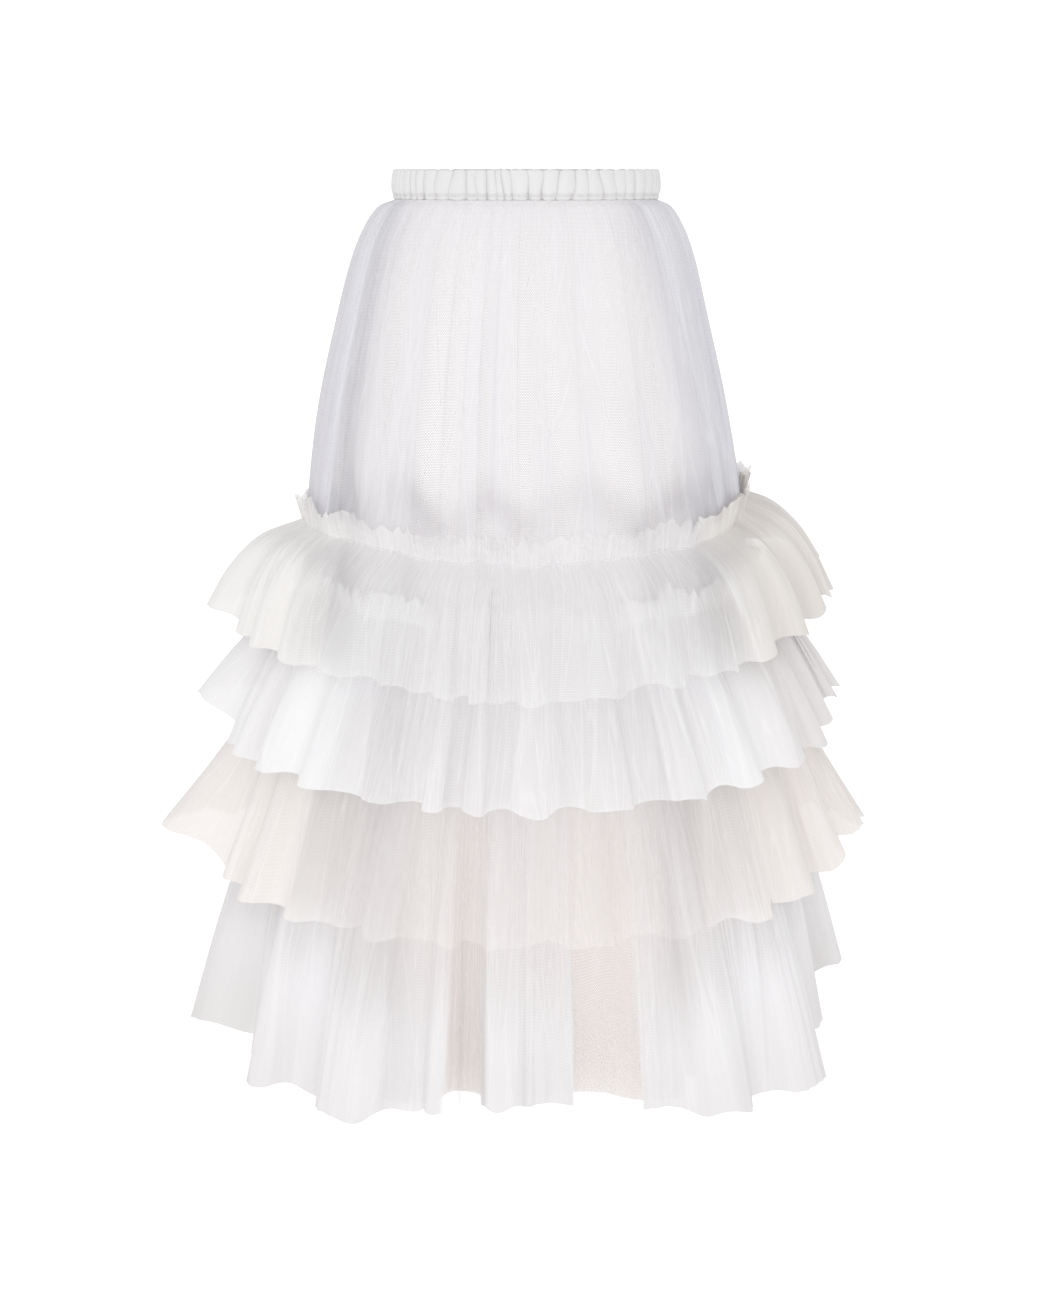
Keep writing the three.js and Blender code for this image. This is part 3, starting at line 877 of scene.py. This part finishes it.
# %% Folds and looks of the ruffles
RUFFLE_EDGES = {
    "ruffle_1": [
        Edge(-66, -60, 0, 1, 6, -1, 2.0, 0.4),
        Edge(-30, -33, 0.1, 0.8, 3, 1, 1.5, 0.3),
        Edge(-8, -10, 0.15, 1, 4, -1, 1.5, 0.3),
        Edge(21, 24, 0, 0.9, 4, 1, 1.6, 0.35),
        Edge(49, 53, 0, 1, 5, 1, 2.0, 0.4),
    ],
    "ruffle_2": [
        Edge(-66, -53, 0, 1, 15, 1, 3.0, 0.9),
        Edge(-30, -29, 0.2, 1, 2, -1, 1.4, 0.3),
        Edge(-25, -23, 0.1, 0.9, 3, 1, 1.5, 0.35),
        Edge(-20, -17.5, 0.1, 0.8, 2, 1, 1.5, 0.3),
        Edge(-14, -14, 0.3, 1, 3, -1, 1.5, 0.3),
        Edge(-9, -9, 0, 0.9, 2, 1, 1.4, 0.3),
        Edge(2, -3.4, 0.1, 1, 9, 1, 2.6, 0.6),
        Edge(4, 4, 0.2, 0.9, 2, -1, 1.4, 0.4),
        Edge(18, 17, 0.1, 1, 4, -1, 1.6, 0.35),
        Edge(22, 21, 0.2, 1, 3, 1, 1.4, 0.3),
        Edge(26.5, 26, 0, 1, 10, 1, 2.8, 0.8),
        Edge(31, 30, 0, 0.9, 2, 1, 1.5, 0.3),
        Edge(64, 55, 0, 1, 6, -1, 2.4, 0.5),
    ],
    "ruffle_3": [
        Edge(-58, -50, 0, 1, 8, 1, 2.4, 0.4),
        Edge(-22, -24, 0, 1, 5, -1, 2.0, 0.35),
        Edge(12, 9, 0, 1, 5, 1, 2.0, 0.35),
        Edge(42, 37, 0, 1, 8, 1, 2.4, 0.45),
    ],
    "ruffle_4": [
        Edge(-60, -54, 0, 1, 8, 1, 2.4, 0.35),
        Edge(-40, -38, 0, 1, 4, 1, 2.0, 0.3),
        Edge(-27, -26, 0, 1, 6, -1, 2.2, 0.3),
        Edge(-16, -16.5, 0, 1, 4, -1, 2.2, 0.45),
        Edge(-9.5, -9, 0, 1, 6, 1, 2.6, 0.5),
        Edge(-2, -2, 0, 0.8, 2, 1, 1.4, 0.3),
        Edge(8.5, 8.5, 0, 1, 5, -1, 2.4, 0.5),
        Edge(22.5, 23.5, 0, 1, 5, 1, 2.2, 0.4),
        Edge(30, 31, 0, 1, 6, 1, 2.4, 0.45),
        Edge(50, 46, 0, 1, 6, -1, 2.2, 0.4),
    ],
}
OPEN_NET = -0.5
RUFFLE_BANDS = {
    "ruffle_1": [],
    "ruffle_2": [Band(Panel(-66, -36, -54, -30), 0.35), Band(Panel(28, 44, 27, 42), 0.3)],
    "ruffle_3": [],
    "ruffle_4": [
        Band(Panel(-50, -27, -46, -26), 0.3),
        Band(Panel(-15, -10, -16, -9.5), 0.6 * OPEN_NET),
        Band(Panel(-8.5, 3, -8.5, 4), 0.2),
        Band(Panel(9, 22, 9, 23), OPEN_NET),
        Band(Panel(31, 44, 31, 43), 0.3),
    ],
}
HEADER_BANDS = {
    "ruffle_1": [Band(Panel(-70, -22, -66, -22), 0.5), Band(Panel(38, 76, 40, 76), 0.6)],
    "ruffle_2": [Band(Panel(-60, -19, -60, -19), 0.9), Band(Panel(21, 68, 21, 68), 0.9)],
}
NetLook = namedtuple("NetLook", "header foot hem at_sides tips shade")
NET_LOOKS = {
    "ruffle_1": NetLook(0.0, 0, 0.0, (1.0, 1.25, 43), 41, (0.25, 0.8)),
    "ruffle_2": NetLook(-0.2, 0.2, 0.12, (0.4, 0.6), 29, (0.15, 0.55)),
    "ruffle_3": NetLook(0, 0, 0.05, (1.6, 1.6), 29, (0.3, 0.36)),
    "ruffle_4": NetLook(0, 1.5, 0.25, (0.2, 0.35), 29, (0.16, 0.1)),
}
print("%d creases" % sum(len(edges) for edges in RUFFLE_EDGES.values()))

# %% [markdown]
# ### The stitch line and the fall
# The stitch line is a ring of the overskirt, moved out by the cloth's thickness. It wanders a
# little and sags in front. From there each row of the strip is a mix of the stitch line and the
# hem, with the flutes growing and the fine gathers dying out on the way down.

# %% From the stitches to the hem
CLOTH_GAP = 1.5
STITCH_FOLD = 0.8
STITCH_WANDER = 2.5
SAG_END = 65
SAG_RAMP = 50
GATHERS = 160
GATHER_DEPTH = 0.7
RUFFLE_MIDDLE_DEPTH = 1.1
HEM_WANDER = 2.5
FALL_ROWS = 34


def folds_of(ruffle, turn):
    """Height and lean of the flutes, of the middling folds, and of the fine gathers."""
    flutes = big_fold(turn, ruffle.folds)
    middling = small_fold(turn, ruffle.middle_folds, ruffle.seed + 3, 2.5)
    return flutes, middling, small_fold(turn, GATHERS, ruffle.seed, 1.8)


def stitches_of(ruffle, turn):
    """The line on which the ruffle is stitched, the directions outward, and the azimuths."""
    share = np.linspace(0, 1, len(OVERSKIRT))[ruffle.ring]
    ring = rings_at(OVERSKIRT, np.array([share]))
    azimuth = azimuth_of(turn)
    out = outward(ring, azimuth)
    level = np.zeros_like(turn)
    rise = ring["fold"] * big_fold(turn, OVERSKIRT_FOLDS)[0]
    line = moved(ring_points(ring, azimuth), out, rise, level)
    from_front = np.abs(degrees_apart(azimuth, 0))
    line[..., 2] += STITCH_WANDER * uneven(turn, ruffle.seed + 11, 6, 18)
    line[..., 2] -= ruffle.sag * soft_step((SAG_END - from_front) / SAG_RAMP)
    flute, _ = big_fold(turn, ruffle.folds)
    return moved(line, out, CLOTH_GAP + STITCH_FOLD * (1 + flute), level), out, azimuth


def fall_of(ruffle, turn, line, out, azimuth):
    """The strip below the stitches, how far down each row is, and what its creases add."""
    (flute, flute_lean), (middling, middling_lean), (gather, _) = folds_of(ruffle, turn)
    reach = around(ruffle.hem, azimuth, "reach")
    low = around(ruffle.hem, azimuth, "z") + HEM_WANDER * uneven(turn, ruffle.seed + 5, 20, 60)
    hem = np.stack([reach * np.sin(azimuth), -reach * np.cos(azimuth), low], -1)
    way = np.linspace(0, 1, FALL_ROWS)
    at = column_of(ruffle.profile, "at")
    to_hem = along(ruffle.profile, "to_hem", way, at)[:, None]
    drop = along(ruffle.profile, "drop", way, at)[:, None]
    fold = along(ruffle.profile, "fold", way, at)[:, None] * ruffle.fold_at_hem
    way = way[:, None]
    fall = line * (1 - to_hem[..., None]) + hem * to_hem[..., None]
    fall[..., 2] = line[..., 2] * (1 - drop) + hem[..., 2] * drop
    length = 0.45 + 0.3 * uneven(turn, ruffle.seed + 7, 25, 70)
    fine = GATHER_DEPTH * np.exp(-((way / length) ** 2))
    middle = RUFFLE_MIDDLE_DEPTH * soft_step(way / 0.4)
    height = fold * flute + middle * middling + fine * gather
    lean = 0.2 * fold * flute_lean + 0.5 * middle * middling_lean
    rise, crease_density = fold_edges(azimuth, way, RUFFLE_EDGES[ruffle.name])
    return moved(fall, out, height + rise, lean), way, crease_density


print("%d rows from stitches to hem" % FALL_ROWS)

# %% [markdown]
# ### How bunched the fall is
# Net is densest where the stitches hold it, where it is bunched, along creases and hems, and at the
# tips, which swing round at the sides and are seen edge-on through several layers.

# %% Density of the fall
TIP_DENSITY = 1.0
TIP_RAMP = 17
BUNCH_SHARE = 0.2


def fall_density(ruffle, fall, way, azimuth):
    look = NET_LOOKS[ruffle.name]
    at_hem = look.hem * np.exp(-((1 - way) / 0.02))
    dense = 0.4 * np.exp(-way / 0.25) + at_hem + BUNCH_SHARE * bunching(fall)
    closed = np.ones_like(dense)
    for band in RUFFLE_BANDS[ruffle.name]:
        inside = inside_panel(azimuth, way, band.panel)
        dense = dense + band.density * inside
        closed = closed - inside * (band.density < 0)
    dense = dense + look.foot * closed * soft_step((way - 0.5) / 0.4)
    from_front = np.abs(degrees_apart(azimuth, 0))
    tips = soft_step((from_front - look.tips) / TIP_RAMP) * soft_step((way - 0.15) / 0.4)
    return dense + TIP_DENSITY * tips


print("tips get dense from", [look.tips for look in NET_LOOKS.values()])

# %% [markdown]
# ### The header
# The frill above the stitches leans out, and flops to and fro because nothing holds its edge. Its
# edge is cut by hand, so its height wanders. It is thinner towards the top.

# %% Header
HEADER_HEIGHT = 27
HEADER_OUT = 5
HEADER_FOLD = 2.4
HEADER_ROWS = 8
HEADER_BAND_EDGE = 8


def header_of(ruffle, turn, line, out, azimuth):
    """The header's points from its upper edge down, and how bunched it is."""
    (flute, _), (middling, middling_lean), (gather, _) = folds_of(ruffle, turn)
    up = np.linspace(1, 0, HEADER_ROWS, endpoint=False)[:, None]
    header = np.repeat(line, HEADER_ROWS, axis=0)
    top = HEADER_HEIGHT * (0.88 + 0.12 * uneven(turn, ruffle.seed + 9, 9, 30))
    top = top + 3 * uneven(turn, ruffle.seed + 10, 50, 140)
    header[..., 2] = header[..., 2] + up * top
    flop = uneven(turn, ruffle.seed + 12, 14, 44)
    frill = HEADER_FOLD * (0.4 * flute + 0.9 * middling + 0.4 * gather + 0.9 * flop)
    away = up * HEADER_OUT + up * frill + (1 - up) * GATHER_DEPTH * gather
    header = moved(header, out, away, 1.2 * up * middling_lean)
    thin_top = 0.8 * soft_step((up - 0.45) / 0.5) * (0.6 + 0.5 * flop)
    dense = 0.5 * np.exp(-up / 0.3) + NET_LOOKS[ruffle.name].header - thin_top
    dense = dense + BUNCH_SHARE * bunching(header)
    for band in HEADER_BANDS[ruffle.name]:
        dense = dense + band.density * inside_panel(azimuth, up, band.panel, HEADER_BAND_EDGE)
    return header, dense


print("header %d mm high" % HEADER_HEIGHT)

# %% [markdown]
# ### All four
# The parts are put together, header over fall, as one grid for each ruffle, so each is one piece of
# cloth with no seam at the stitches.

# %% Ruffles
FOOT_SHADE = 0.18


def ruffle_cloth(ruffle):
    """A ruffle's points, how bunched and how shaded each is, and its stitch line."""
    look = NET_LOOKS[ruffle.name]
    turn = np.arange(NET_COLUMNS)[None, :] / NET_COLUMNS
    line, out, azimuth = stitches_of(ruffle, turn)
    points, way, crease_density = fall_of(ruffle, turn, line, out, azimuth)
    dense = fall_density(ruffle, points, way, azimuth) + crease_density
    if ruffle.header:
        header, header_dense = header_of(ruffle, turn, line, out, azimuth)
        points = np.concatenate([header, points])
        dense = np.concatenate([header_dense, dense])
    dense = np.clip(dense + side_density(azimuth, *look.at_sides), -0.6, 2.5)
    # Painted shade at the sides, as the look's shade says.
    shaded = side_shade(azimuth, *look.shade) * np.ones((len(dense), 1))
    # Painted shade: the foot of each ruffle is darkened in colour, as much as its look's foot says.
    shaded[-FALL_ROWS:] += FOOT_SHADE * look.foot * soft_step((way - 0.6) / 0.4)
    return points, dense, np.clip(shaded, 0, 1), line[0] * MM


stitch_lines = {}
for ruffle in RUFFLES:
    points, gathered, shaded, line = ruffle_cloth(ruffle)
    stitch_lines[ruffle.name] = line
    piece, flat = sheet_object("net_" + ruffle.name, points, gathered, NET_FINISHES[ruffle.name])
    add_layer(piece, "shaded", shaded)
    solids = [ruffle.name + "_front", ruffle.name + "_back"]
    hand_in(piece, solids)

# %% [markdown]
# ## The waistband
# A strip of satin is folded over elastic and stitched shut. The elastic shrinks and the satin
# cannot, so it puckers into close upright ridges that wander, fork and fade. This is a shape that
# follows a rule, so Geometry Nodes make it: a plain ring goes in, and each point moves out along
# its normal by a wave whose phase is bent by noise. The tree's inputs are its real sizes. The ring
# is made first: it is closed, bulges a little, and is drawn in where the stitches run near its
# foot.

# %% Waistband ring
BAND_HEIGHT = 27
BAND_HALF_WIDTH = 122.3
BAND_HALF_DEPTH = 89
CASING = 3.5
BAND_BULGE = 1.6
STITCH_GROOVE = 1.3
BAND_COLUMNS = 1300
EDGE_ROWS = 5
FACE_ROWS = 19
BAND_STITCH_ROW = FACE_ROWS - 3
STITCH_LEVEL = -0.78
EDGE_ROUND = 1.2


def band_section():
    """How far out and how high each row of the casing is, and its share of the puckers."""
    top = BAND_HEIGHT / 2 - EDGE_ROUND
    middle = CASING / 2
    face = np.linspace(1, -1, FACE_ROWS)
    over = np.linspace(0, math.pi, EDGE_ROWS + 2)[1:-1]
    grooves = [STITCH_GROOVE * math.exp(-(((h - STITCH_LEVEL) / 0.11) ** 2)) for h in face]
    out = [BAND_BULGE * (1 - h * h) - groove for h, groove in zip(face, grooves)]
    rows = [(far, h * top, 1.0 - 0.15 * h) for far, h in zip(out, face)]
    rows += [(middle * math.cos(a) - middle, -top - EDGE_ROUND * math.sin(a), 0.5) for a in over]
    rows += [(-CASING, h * top, 0.12) for h in face[::-1]]
    rows += [(-middle * math.cos(a) - middle, top + EDGE_ROUND * math.sin(a), 0.5) for a in over]
    return np.array(rows)


section = band_section()
turn = np.arange(BAND_COLUMNS)[None, :] / BAND_COLUMNS
azimuth = np.broadcast_to(azimuth_of(turn), (len(section), BAND_COLUMNS))
oval = {"half_width": BAND_HALF_WIDTH, "front": BAND_HALF_DEPTH, "back": BAND_HALF_DEPTH}
oval.update({"shift": 0, "lift": 0, "z": section[:, 1:2]})
bulge = np.broadcast_to(section[:, :1], azimuth.shape)
level = np.zeros(azimuth.shape)
band_points = moved(ring_points(oval, azimuth), outward(oval, azimuth), bulge, level)
share = np.broadcast_to(section[:, 2:3], azimuth.shape)
waistband, band_flat = sheet_object(
    "satin_waistband", band_points, share, casing_satin, closed_section=True
)

# %% [markdown]
# Geometry Nodes trees need the same few steps each time: named inputs, a chain of nodes, and a
# modifier whose inputs are set by their identifiers. These helpers keep that short.

# %% Helpers for Geometry Nodes


def new_tree(name, inputs):
    """A tree with a Geometry input, named inputs given as (kind, value), and a Geometry output."""
    tree = bpy.data.node_groups.new(name, "GeometryNodeTree")
    tree.interface.new_socket("Geometry", in_out="INPUT", socket_type="NodeSocketGeometry")
    for title, (kind, _) in inputs.items():
        tree.interface.new_socket(title, in_out="INPUT", socket_type="NodeSocket" + kind)
    tree.interface.new_socket("Geometry", in_out="OUTPUT", socket_type="NodeSocketGeometry")
    return tree, add_node(tree, "NodeGroupInput"), add_node(tree, "NodeGroupOutput")


def run_tree(made, tree, inputs):
    """Runs a tree on an object and returns the result as a plain mesh."""
    modifier = made.modifiers.new(tree.name, "NODES")
    modifier.node_group = tree
    sockets = {item.name: item.identifier for item in tree.interface.items_tree}
    for title, (_, value) in inputs.items():
        modifier[sockets[title]] = value
    graph = bpy.context.evaluated_depsgraph_get()
    mesh = bpy.data.meshes.new_from_object(made.evaluated_get(graph))
    made.modifiers.remove(modifier)
    print("%s: %d faces" % (made.name, len(mesh.polygons)))
    return mesh


print("helpers ready")

# %% [markdown]
# The puckers: how far along the band a point lies, times puckers per metre, gives a phase. Noise
# bends the phase, so the ridges wander and lean. The height over a ridge is the absolute sine, which
# is round on top and sharp in the valley, as gathered cloth is. A slower noise makes some puckers
# deep and others faint. The tree also stores how deep in a valley each point lies, as the layer
# called crease_shade, which the satin's finish reads as painted shade.

# %% Sizes of the puckers
PUCKER_INPUTS = {
    "Depth": ("Float", 0.0042),
    "Crease shade width": ("Float", 0.3),
    "Puckers per metre": ("Float", 92.0),
    "Wander": ("Float", 1.7),
    "Seed": ("Float", 3.0),
    "Satin": ("Material", casing_satin),
}
BEND_GRAIN = (30, 22)
STRENGTH_GRAIN = (40, 18)
OTHER_SEED = 7.3


def named(tree, name):
    inputs = {"Name": name}
    node = add_node(tree, "GeometryNodeInputNamedAttribute", inputs, data_type="FLOAT")
    return node.outputs["Attribute"]


def band_noise(tree, along_band, height, seed, across, up):
    """Noise that is finer along the band than up it. Its middle value is 0.5."""
    x = math_node(tree, "MULTIPLY", along_band, across)
    y = math_node(tree, "MULTIPLY", height, up)
    place = add_node(tree, "ShaderNodeCombineXYZ", {"X": x, "Y": y, "Z": seed}).outputs[0]
    noise = {"Vector": place, "Scale": 1, "Detail": 1}
    return add_node(tree, "ShaderNodeTexNoise", noise).outputs[0]


def ridge_and_strength(tree, given):
    """How high a point lies between valley, 0, and ridge, 1, and how deep the puckers are there."""
    along_band = named(tree, "along")
    place = add_node(tree, "GeometryNodeInputPosition").outputs[0]
    height = add_node(tree, "ShaderNodeSeparateXYZ", {"Vector": place}).outputs["Z"]
    bend = band_noise(tree, along_band, height, given.outputs["Seed"], *BEND_GRAIN)
    bend = math_node(tree, "SUBTRACT", bend, 0.5)
    bend = math_node(tree, "MULTIPLY", bend, given.outputs["Wander"])
    phase = math_node(tree, "MULTIPLY", along_band, given.outputs["Puckers per metre"])
    phase = math_node(tree, "MULTIPLY", math_node(tree, "ADD", phase, bend), math.pi)
    ridge = math_node(tree, "ABSOLUTE", math_node(tree, "SINE", phase))
    ridge = math_node(tree, "POWER", ridge, 0.75)
    other_seed = math_node(tree, "ADD", given.outputs["Seed"], OTHER_SEED)
    strength = band_noise(tree, along_band, height, other_seed, *STRENGTH_GRAIN)
    strength = math_node(tree, "MULTIPLY", math_node(tree, "SUBTRACT", strength, 0.22), 1.9)
    return ridge, strength


print("%d puckers to a metre" % PUCKER_INPUTS["Puckers per metre"][1])

# %% [markdown]
# The tree moves each point along its normal by the height of its ridge, less on the edges and inside,
# as the ring's own layer says. Then it stores the painted shade of the valleys as the layer
# crease_shade, and sets the satin.

# %% The tree of the puckers


def pucker_tree():
    tree, given, result = new_tree("puckers", PUCKER_INPUTS)
    ridge, strength = ridge_and_strength(tree, given)
    move = math_node(tree, "MULTIPLY", math_node(tree, "SUBTRACT", ridge, 0.8), strength)
    move = math_node(tree, "MULTIPLY", move, given.outputs["Depth"])
    move = math_node(tree, "MULTIPLY", move, named(tree, "gathered"))
    normal = add_node(tree, "GeometryNodeInputNormal").outputs[0]
    way = {"Vector": normal, "Scale": move}
    offset = add_node(tree, "ShaderNodeVectorMath", operation="SCALE")
    set_inputs(tree, offset, way)
    moves = {"Geometry": given.outputs["Geometry"], "Offset": offset.outputs["Vector"]}
    shape = add_node(tree, "GeometryNodeSetPosition", moves).outputs[0]
    # Painted shade: the deeper in a valley a point lies, the darker the satin's colour there.
    valley = math_node(tree, "DIVIDE", ridge, given.outputs["Crease shade width"], clamp=True)
    valley = math_node(tree, "SUBTRACT", 1.0, valley, clamp=True)
    valley = math_node(tree, "MULTIPLY", valley, strength)
    valley = math_node(tree, "MULTIPLY", valley, 1.1, clamp=True)
    keep = add_node(tree, "GeometryNodeStoreNamedAttribute", data_type="FLOAT", domain="POINT")
    set_inputs(tree, keep, {"Name": "crease_shade", "Geometry": shape, "Value": valley})
    real = add_node(tree, "GeometryNodeRealizeInstances", {"Geometry": keep.outputs[0]}).outputs[0]
    end = {"Geometry": real, "Material": given.outputs["Satin"]}
    finish = add_node(tree, "GeometryNodeSetMaterial", end)
    tree.links.new(finish.outputs[0], result.inputs[0])
    return tree


way_along = np.broadcast_to(turn * band_flat[0], azimuth.shape)
add_layer(waistband, "along", way_along)
waistband.data = run_tree(waistband, pucker_tree(), PUCKER_INPUTS)

# %% [markdown]
# The line of stitches pulls the satin in, so the rows beside it get some painted shade in the
# crease_shade layer too, more in some places than in others. The casing is folded double.

# %% Shade at the stitches
STITCH_SHADE_ROWS = {BAND_STITCH_ROW - 1: 0.2, BAND_STITCH_ROW: 1.0, BAND_STITCH_ROW + 1: 0.4}
crease_shade = np.zeros(len(waistband.data.vertices), np.float32)
waistband.data.attributes["crease_shade"].data.foreach_get("value", crease_shade)
crease_shade = crease_shade.reshape(len(section), BAND_COLUMNS)
stitch_shade = 0.45 + 0.25 * uneven(turn[0], 31, 40, 160)
# Painted shade along the stitch groove.
for row, share in STITCH_SHADE_ROWS.items():
    crease_shade[row] += share * stitch_shade
crease_shade = np.clip(crease_shade, 0, 1).reshape(-1)
waistband.data.attributes["crease_shade"].data.foreach_set("value", crease_shade)
hand_in(waistband, ["waistband"])
print("deepest crease %.2f" % crease_shade.max())

# %% [markdown]
# ## Stitches
# A line of machine stitches closes the casing at its foot, and others hold the ruffles on. A stitch
# is a short, fat, slightly sunken length of thread. Each line is a curve through points of the
# cloth. The tree sets points along it at the stitch length, lays one small thread on each, turns it
# along the line, and makes the copies real, because only real meshes are exported.

# %% One stitch
THREAD_WHITE = (0.93, 0.925, 0.92, 1)
JUST_OUTSIDE = 1.0015
STITCH_INPUTS = {
    "Stitch length": ("Float", 0.0032),
    "Thread length": ("Float", 0.0024),
    "Thread radius": ("Float", 0.00028),
    "Thread": ("Material", None),
}


def thread_material():
    material, tree, shader = new_finish("thread")
    place = add_node(tree, "ShaderNodeTexCoord").outputs["Object"]
    twist = add_node(tree, "ShaderNodeTexNoise", {"Vector": place, "Scale": 2500}).outputs["Fac"]
    duller = tuple(0.93 * c for c in THREAD_WHITE[:3]) + (1,)
    tone = mixed(tree, duller, THREAD_WHITE, twist)
    set_inputs(tree, shader, {"Base Color": tone, "Roughness": 0.6, "Sheen Weight": 0.2})
    return material


def one_thread(tree, given):
    """One stitch: a small ball, drawn out along its Z."""
    ball = {"Segments": 6, "Rings": 5, "Radius": given.outputs["Thread radius"]}
    ball = add_node(tree, "GeometryNodeMeshUVSphere", ball).outputs["Mesh"]
    slender = given.outputs["Thread length"], given.outputs["Thread radius"]
    slender = math_node(tree, "MULTIPLY", math_node(tree, "DIVIDE", *slender), 0.5)
    longer = add_node(tree, "ShaderNodeCombineXYZ", {"X": 1, "Y": 1, "Z": slender}).outputs[0]
    stretch = {"Geometry": ball, "Scale": longer}
    return add_node(tree, "GeometryNodeTransform", stretch).outputs["Geometry"]


def stitch_tree(inputs):
    tree, given, result = new_tree("stitches", inputs)
    spaced = add_node(tree, "GeometryNodeResampleCurve", mode="LENGTH")
    line = {"Curve": given.outputs["Geometry"], "Length": given.outputs["Stitch length"]}
    set_inputs(tree, spaced, line)
    tangent = add_node(tree, "GeometryNodeInputTangent").outputs[0]
    turned = add_node(tree, "FunctionNodeAlignEulerToVector", {"Vector": tangent}, axis="Z")
    copies = add_node(tree, "GeometryNodeInstanceOnPoints", {
        "Points": spaced.outputs["Curve"],
        "Instance": one_thread(tree, given),
        "Rotation": turned.outputs["Rotation"],
    })
    real = {"Geometry": copies.outputs["Instances"]}
    real = add_node(tree, "GeometryNodeRealizeInstances", real).outputs["Geometry"]
    smooth = add_node(tree, "GeometryNodeSetShadeSmooth", {"Geometry": real}).outputs[0]
    end = {"Geometry": smooth, "Material": given.outputs["Thread"]}
    finish = add_node(tree, "GeometryNodeSetMaterial", end)
    tree.links.new(finish.outputs[0], result.inputs[0])
    return tree


STITCH_INPUTS["Thread"] = ("Material", thread_material())
stitching = stitch_tree(STITCH_INPUTS)
print("%d stitches to a metre" % (1 / STITCH_INPUTS["Stitch length"][1]))

# %% [markdown]
# The lines follow points of the finished cloth: the waistband's own row at its groove, each
# ruffle's stitch line, and a row of the slip just above its edge.

# %% Lines of stitches


def stitch_line(name, line):
    """A closed line of stitches through points in metres."""
    curve = bpy.data.curves.new(name, "CURVE")
    curve.dimensions = "3D"
    spline = curve.splines.new("POLY")
    spline.points.add(len(line) - 1)
    spline.points.foreach_set("co", np.concatenate([line, np.ones((len(line), 1))], 1).reshape(-1))
    spline.use_cyclic_u = True
    source = bpy.data.objects.new(name + "_line", curve)
    bpy.context.scene.collection.objects.link(source)
    mesh = run_tree(source, stitching, STITCH_INPUTS)
    bpy.data.objects.remove(source)
    stitches = bpy.data.objects.new(name, mesh)
    bpy.context.scene.collection.objects.link(stitches)
    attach(stitches, "root")
    return stitches


band_rows = np.array([v.co for v in waistband.data.vertices]).reshape(len(section), BAND_COLUMNS, 3)
band_line = band_rows[BAND_STITCH_ROW][::2] * (JUST_OUTSIDE, JUST_OUTSIDE, 1)
stitch_line("waistband_stitches", band_line)
for ruffle in RUFFLES:
    stitch_line(ruffle.name + "_stitches", stitch_lines[ruffle.name][::2])
stitch_line("slip_hem_stitches", slip_hem_line)
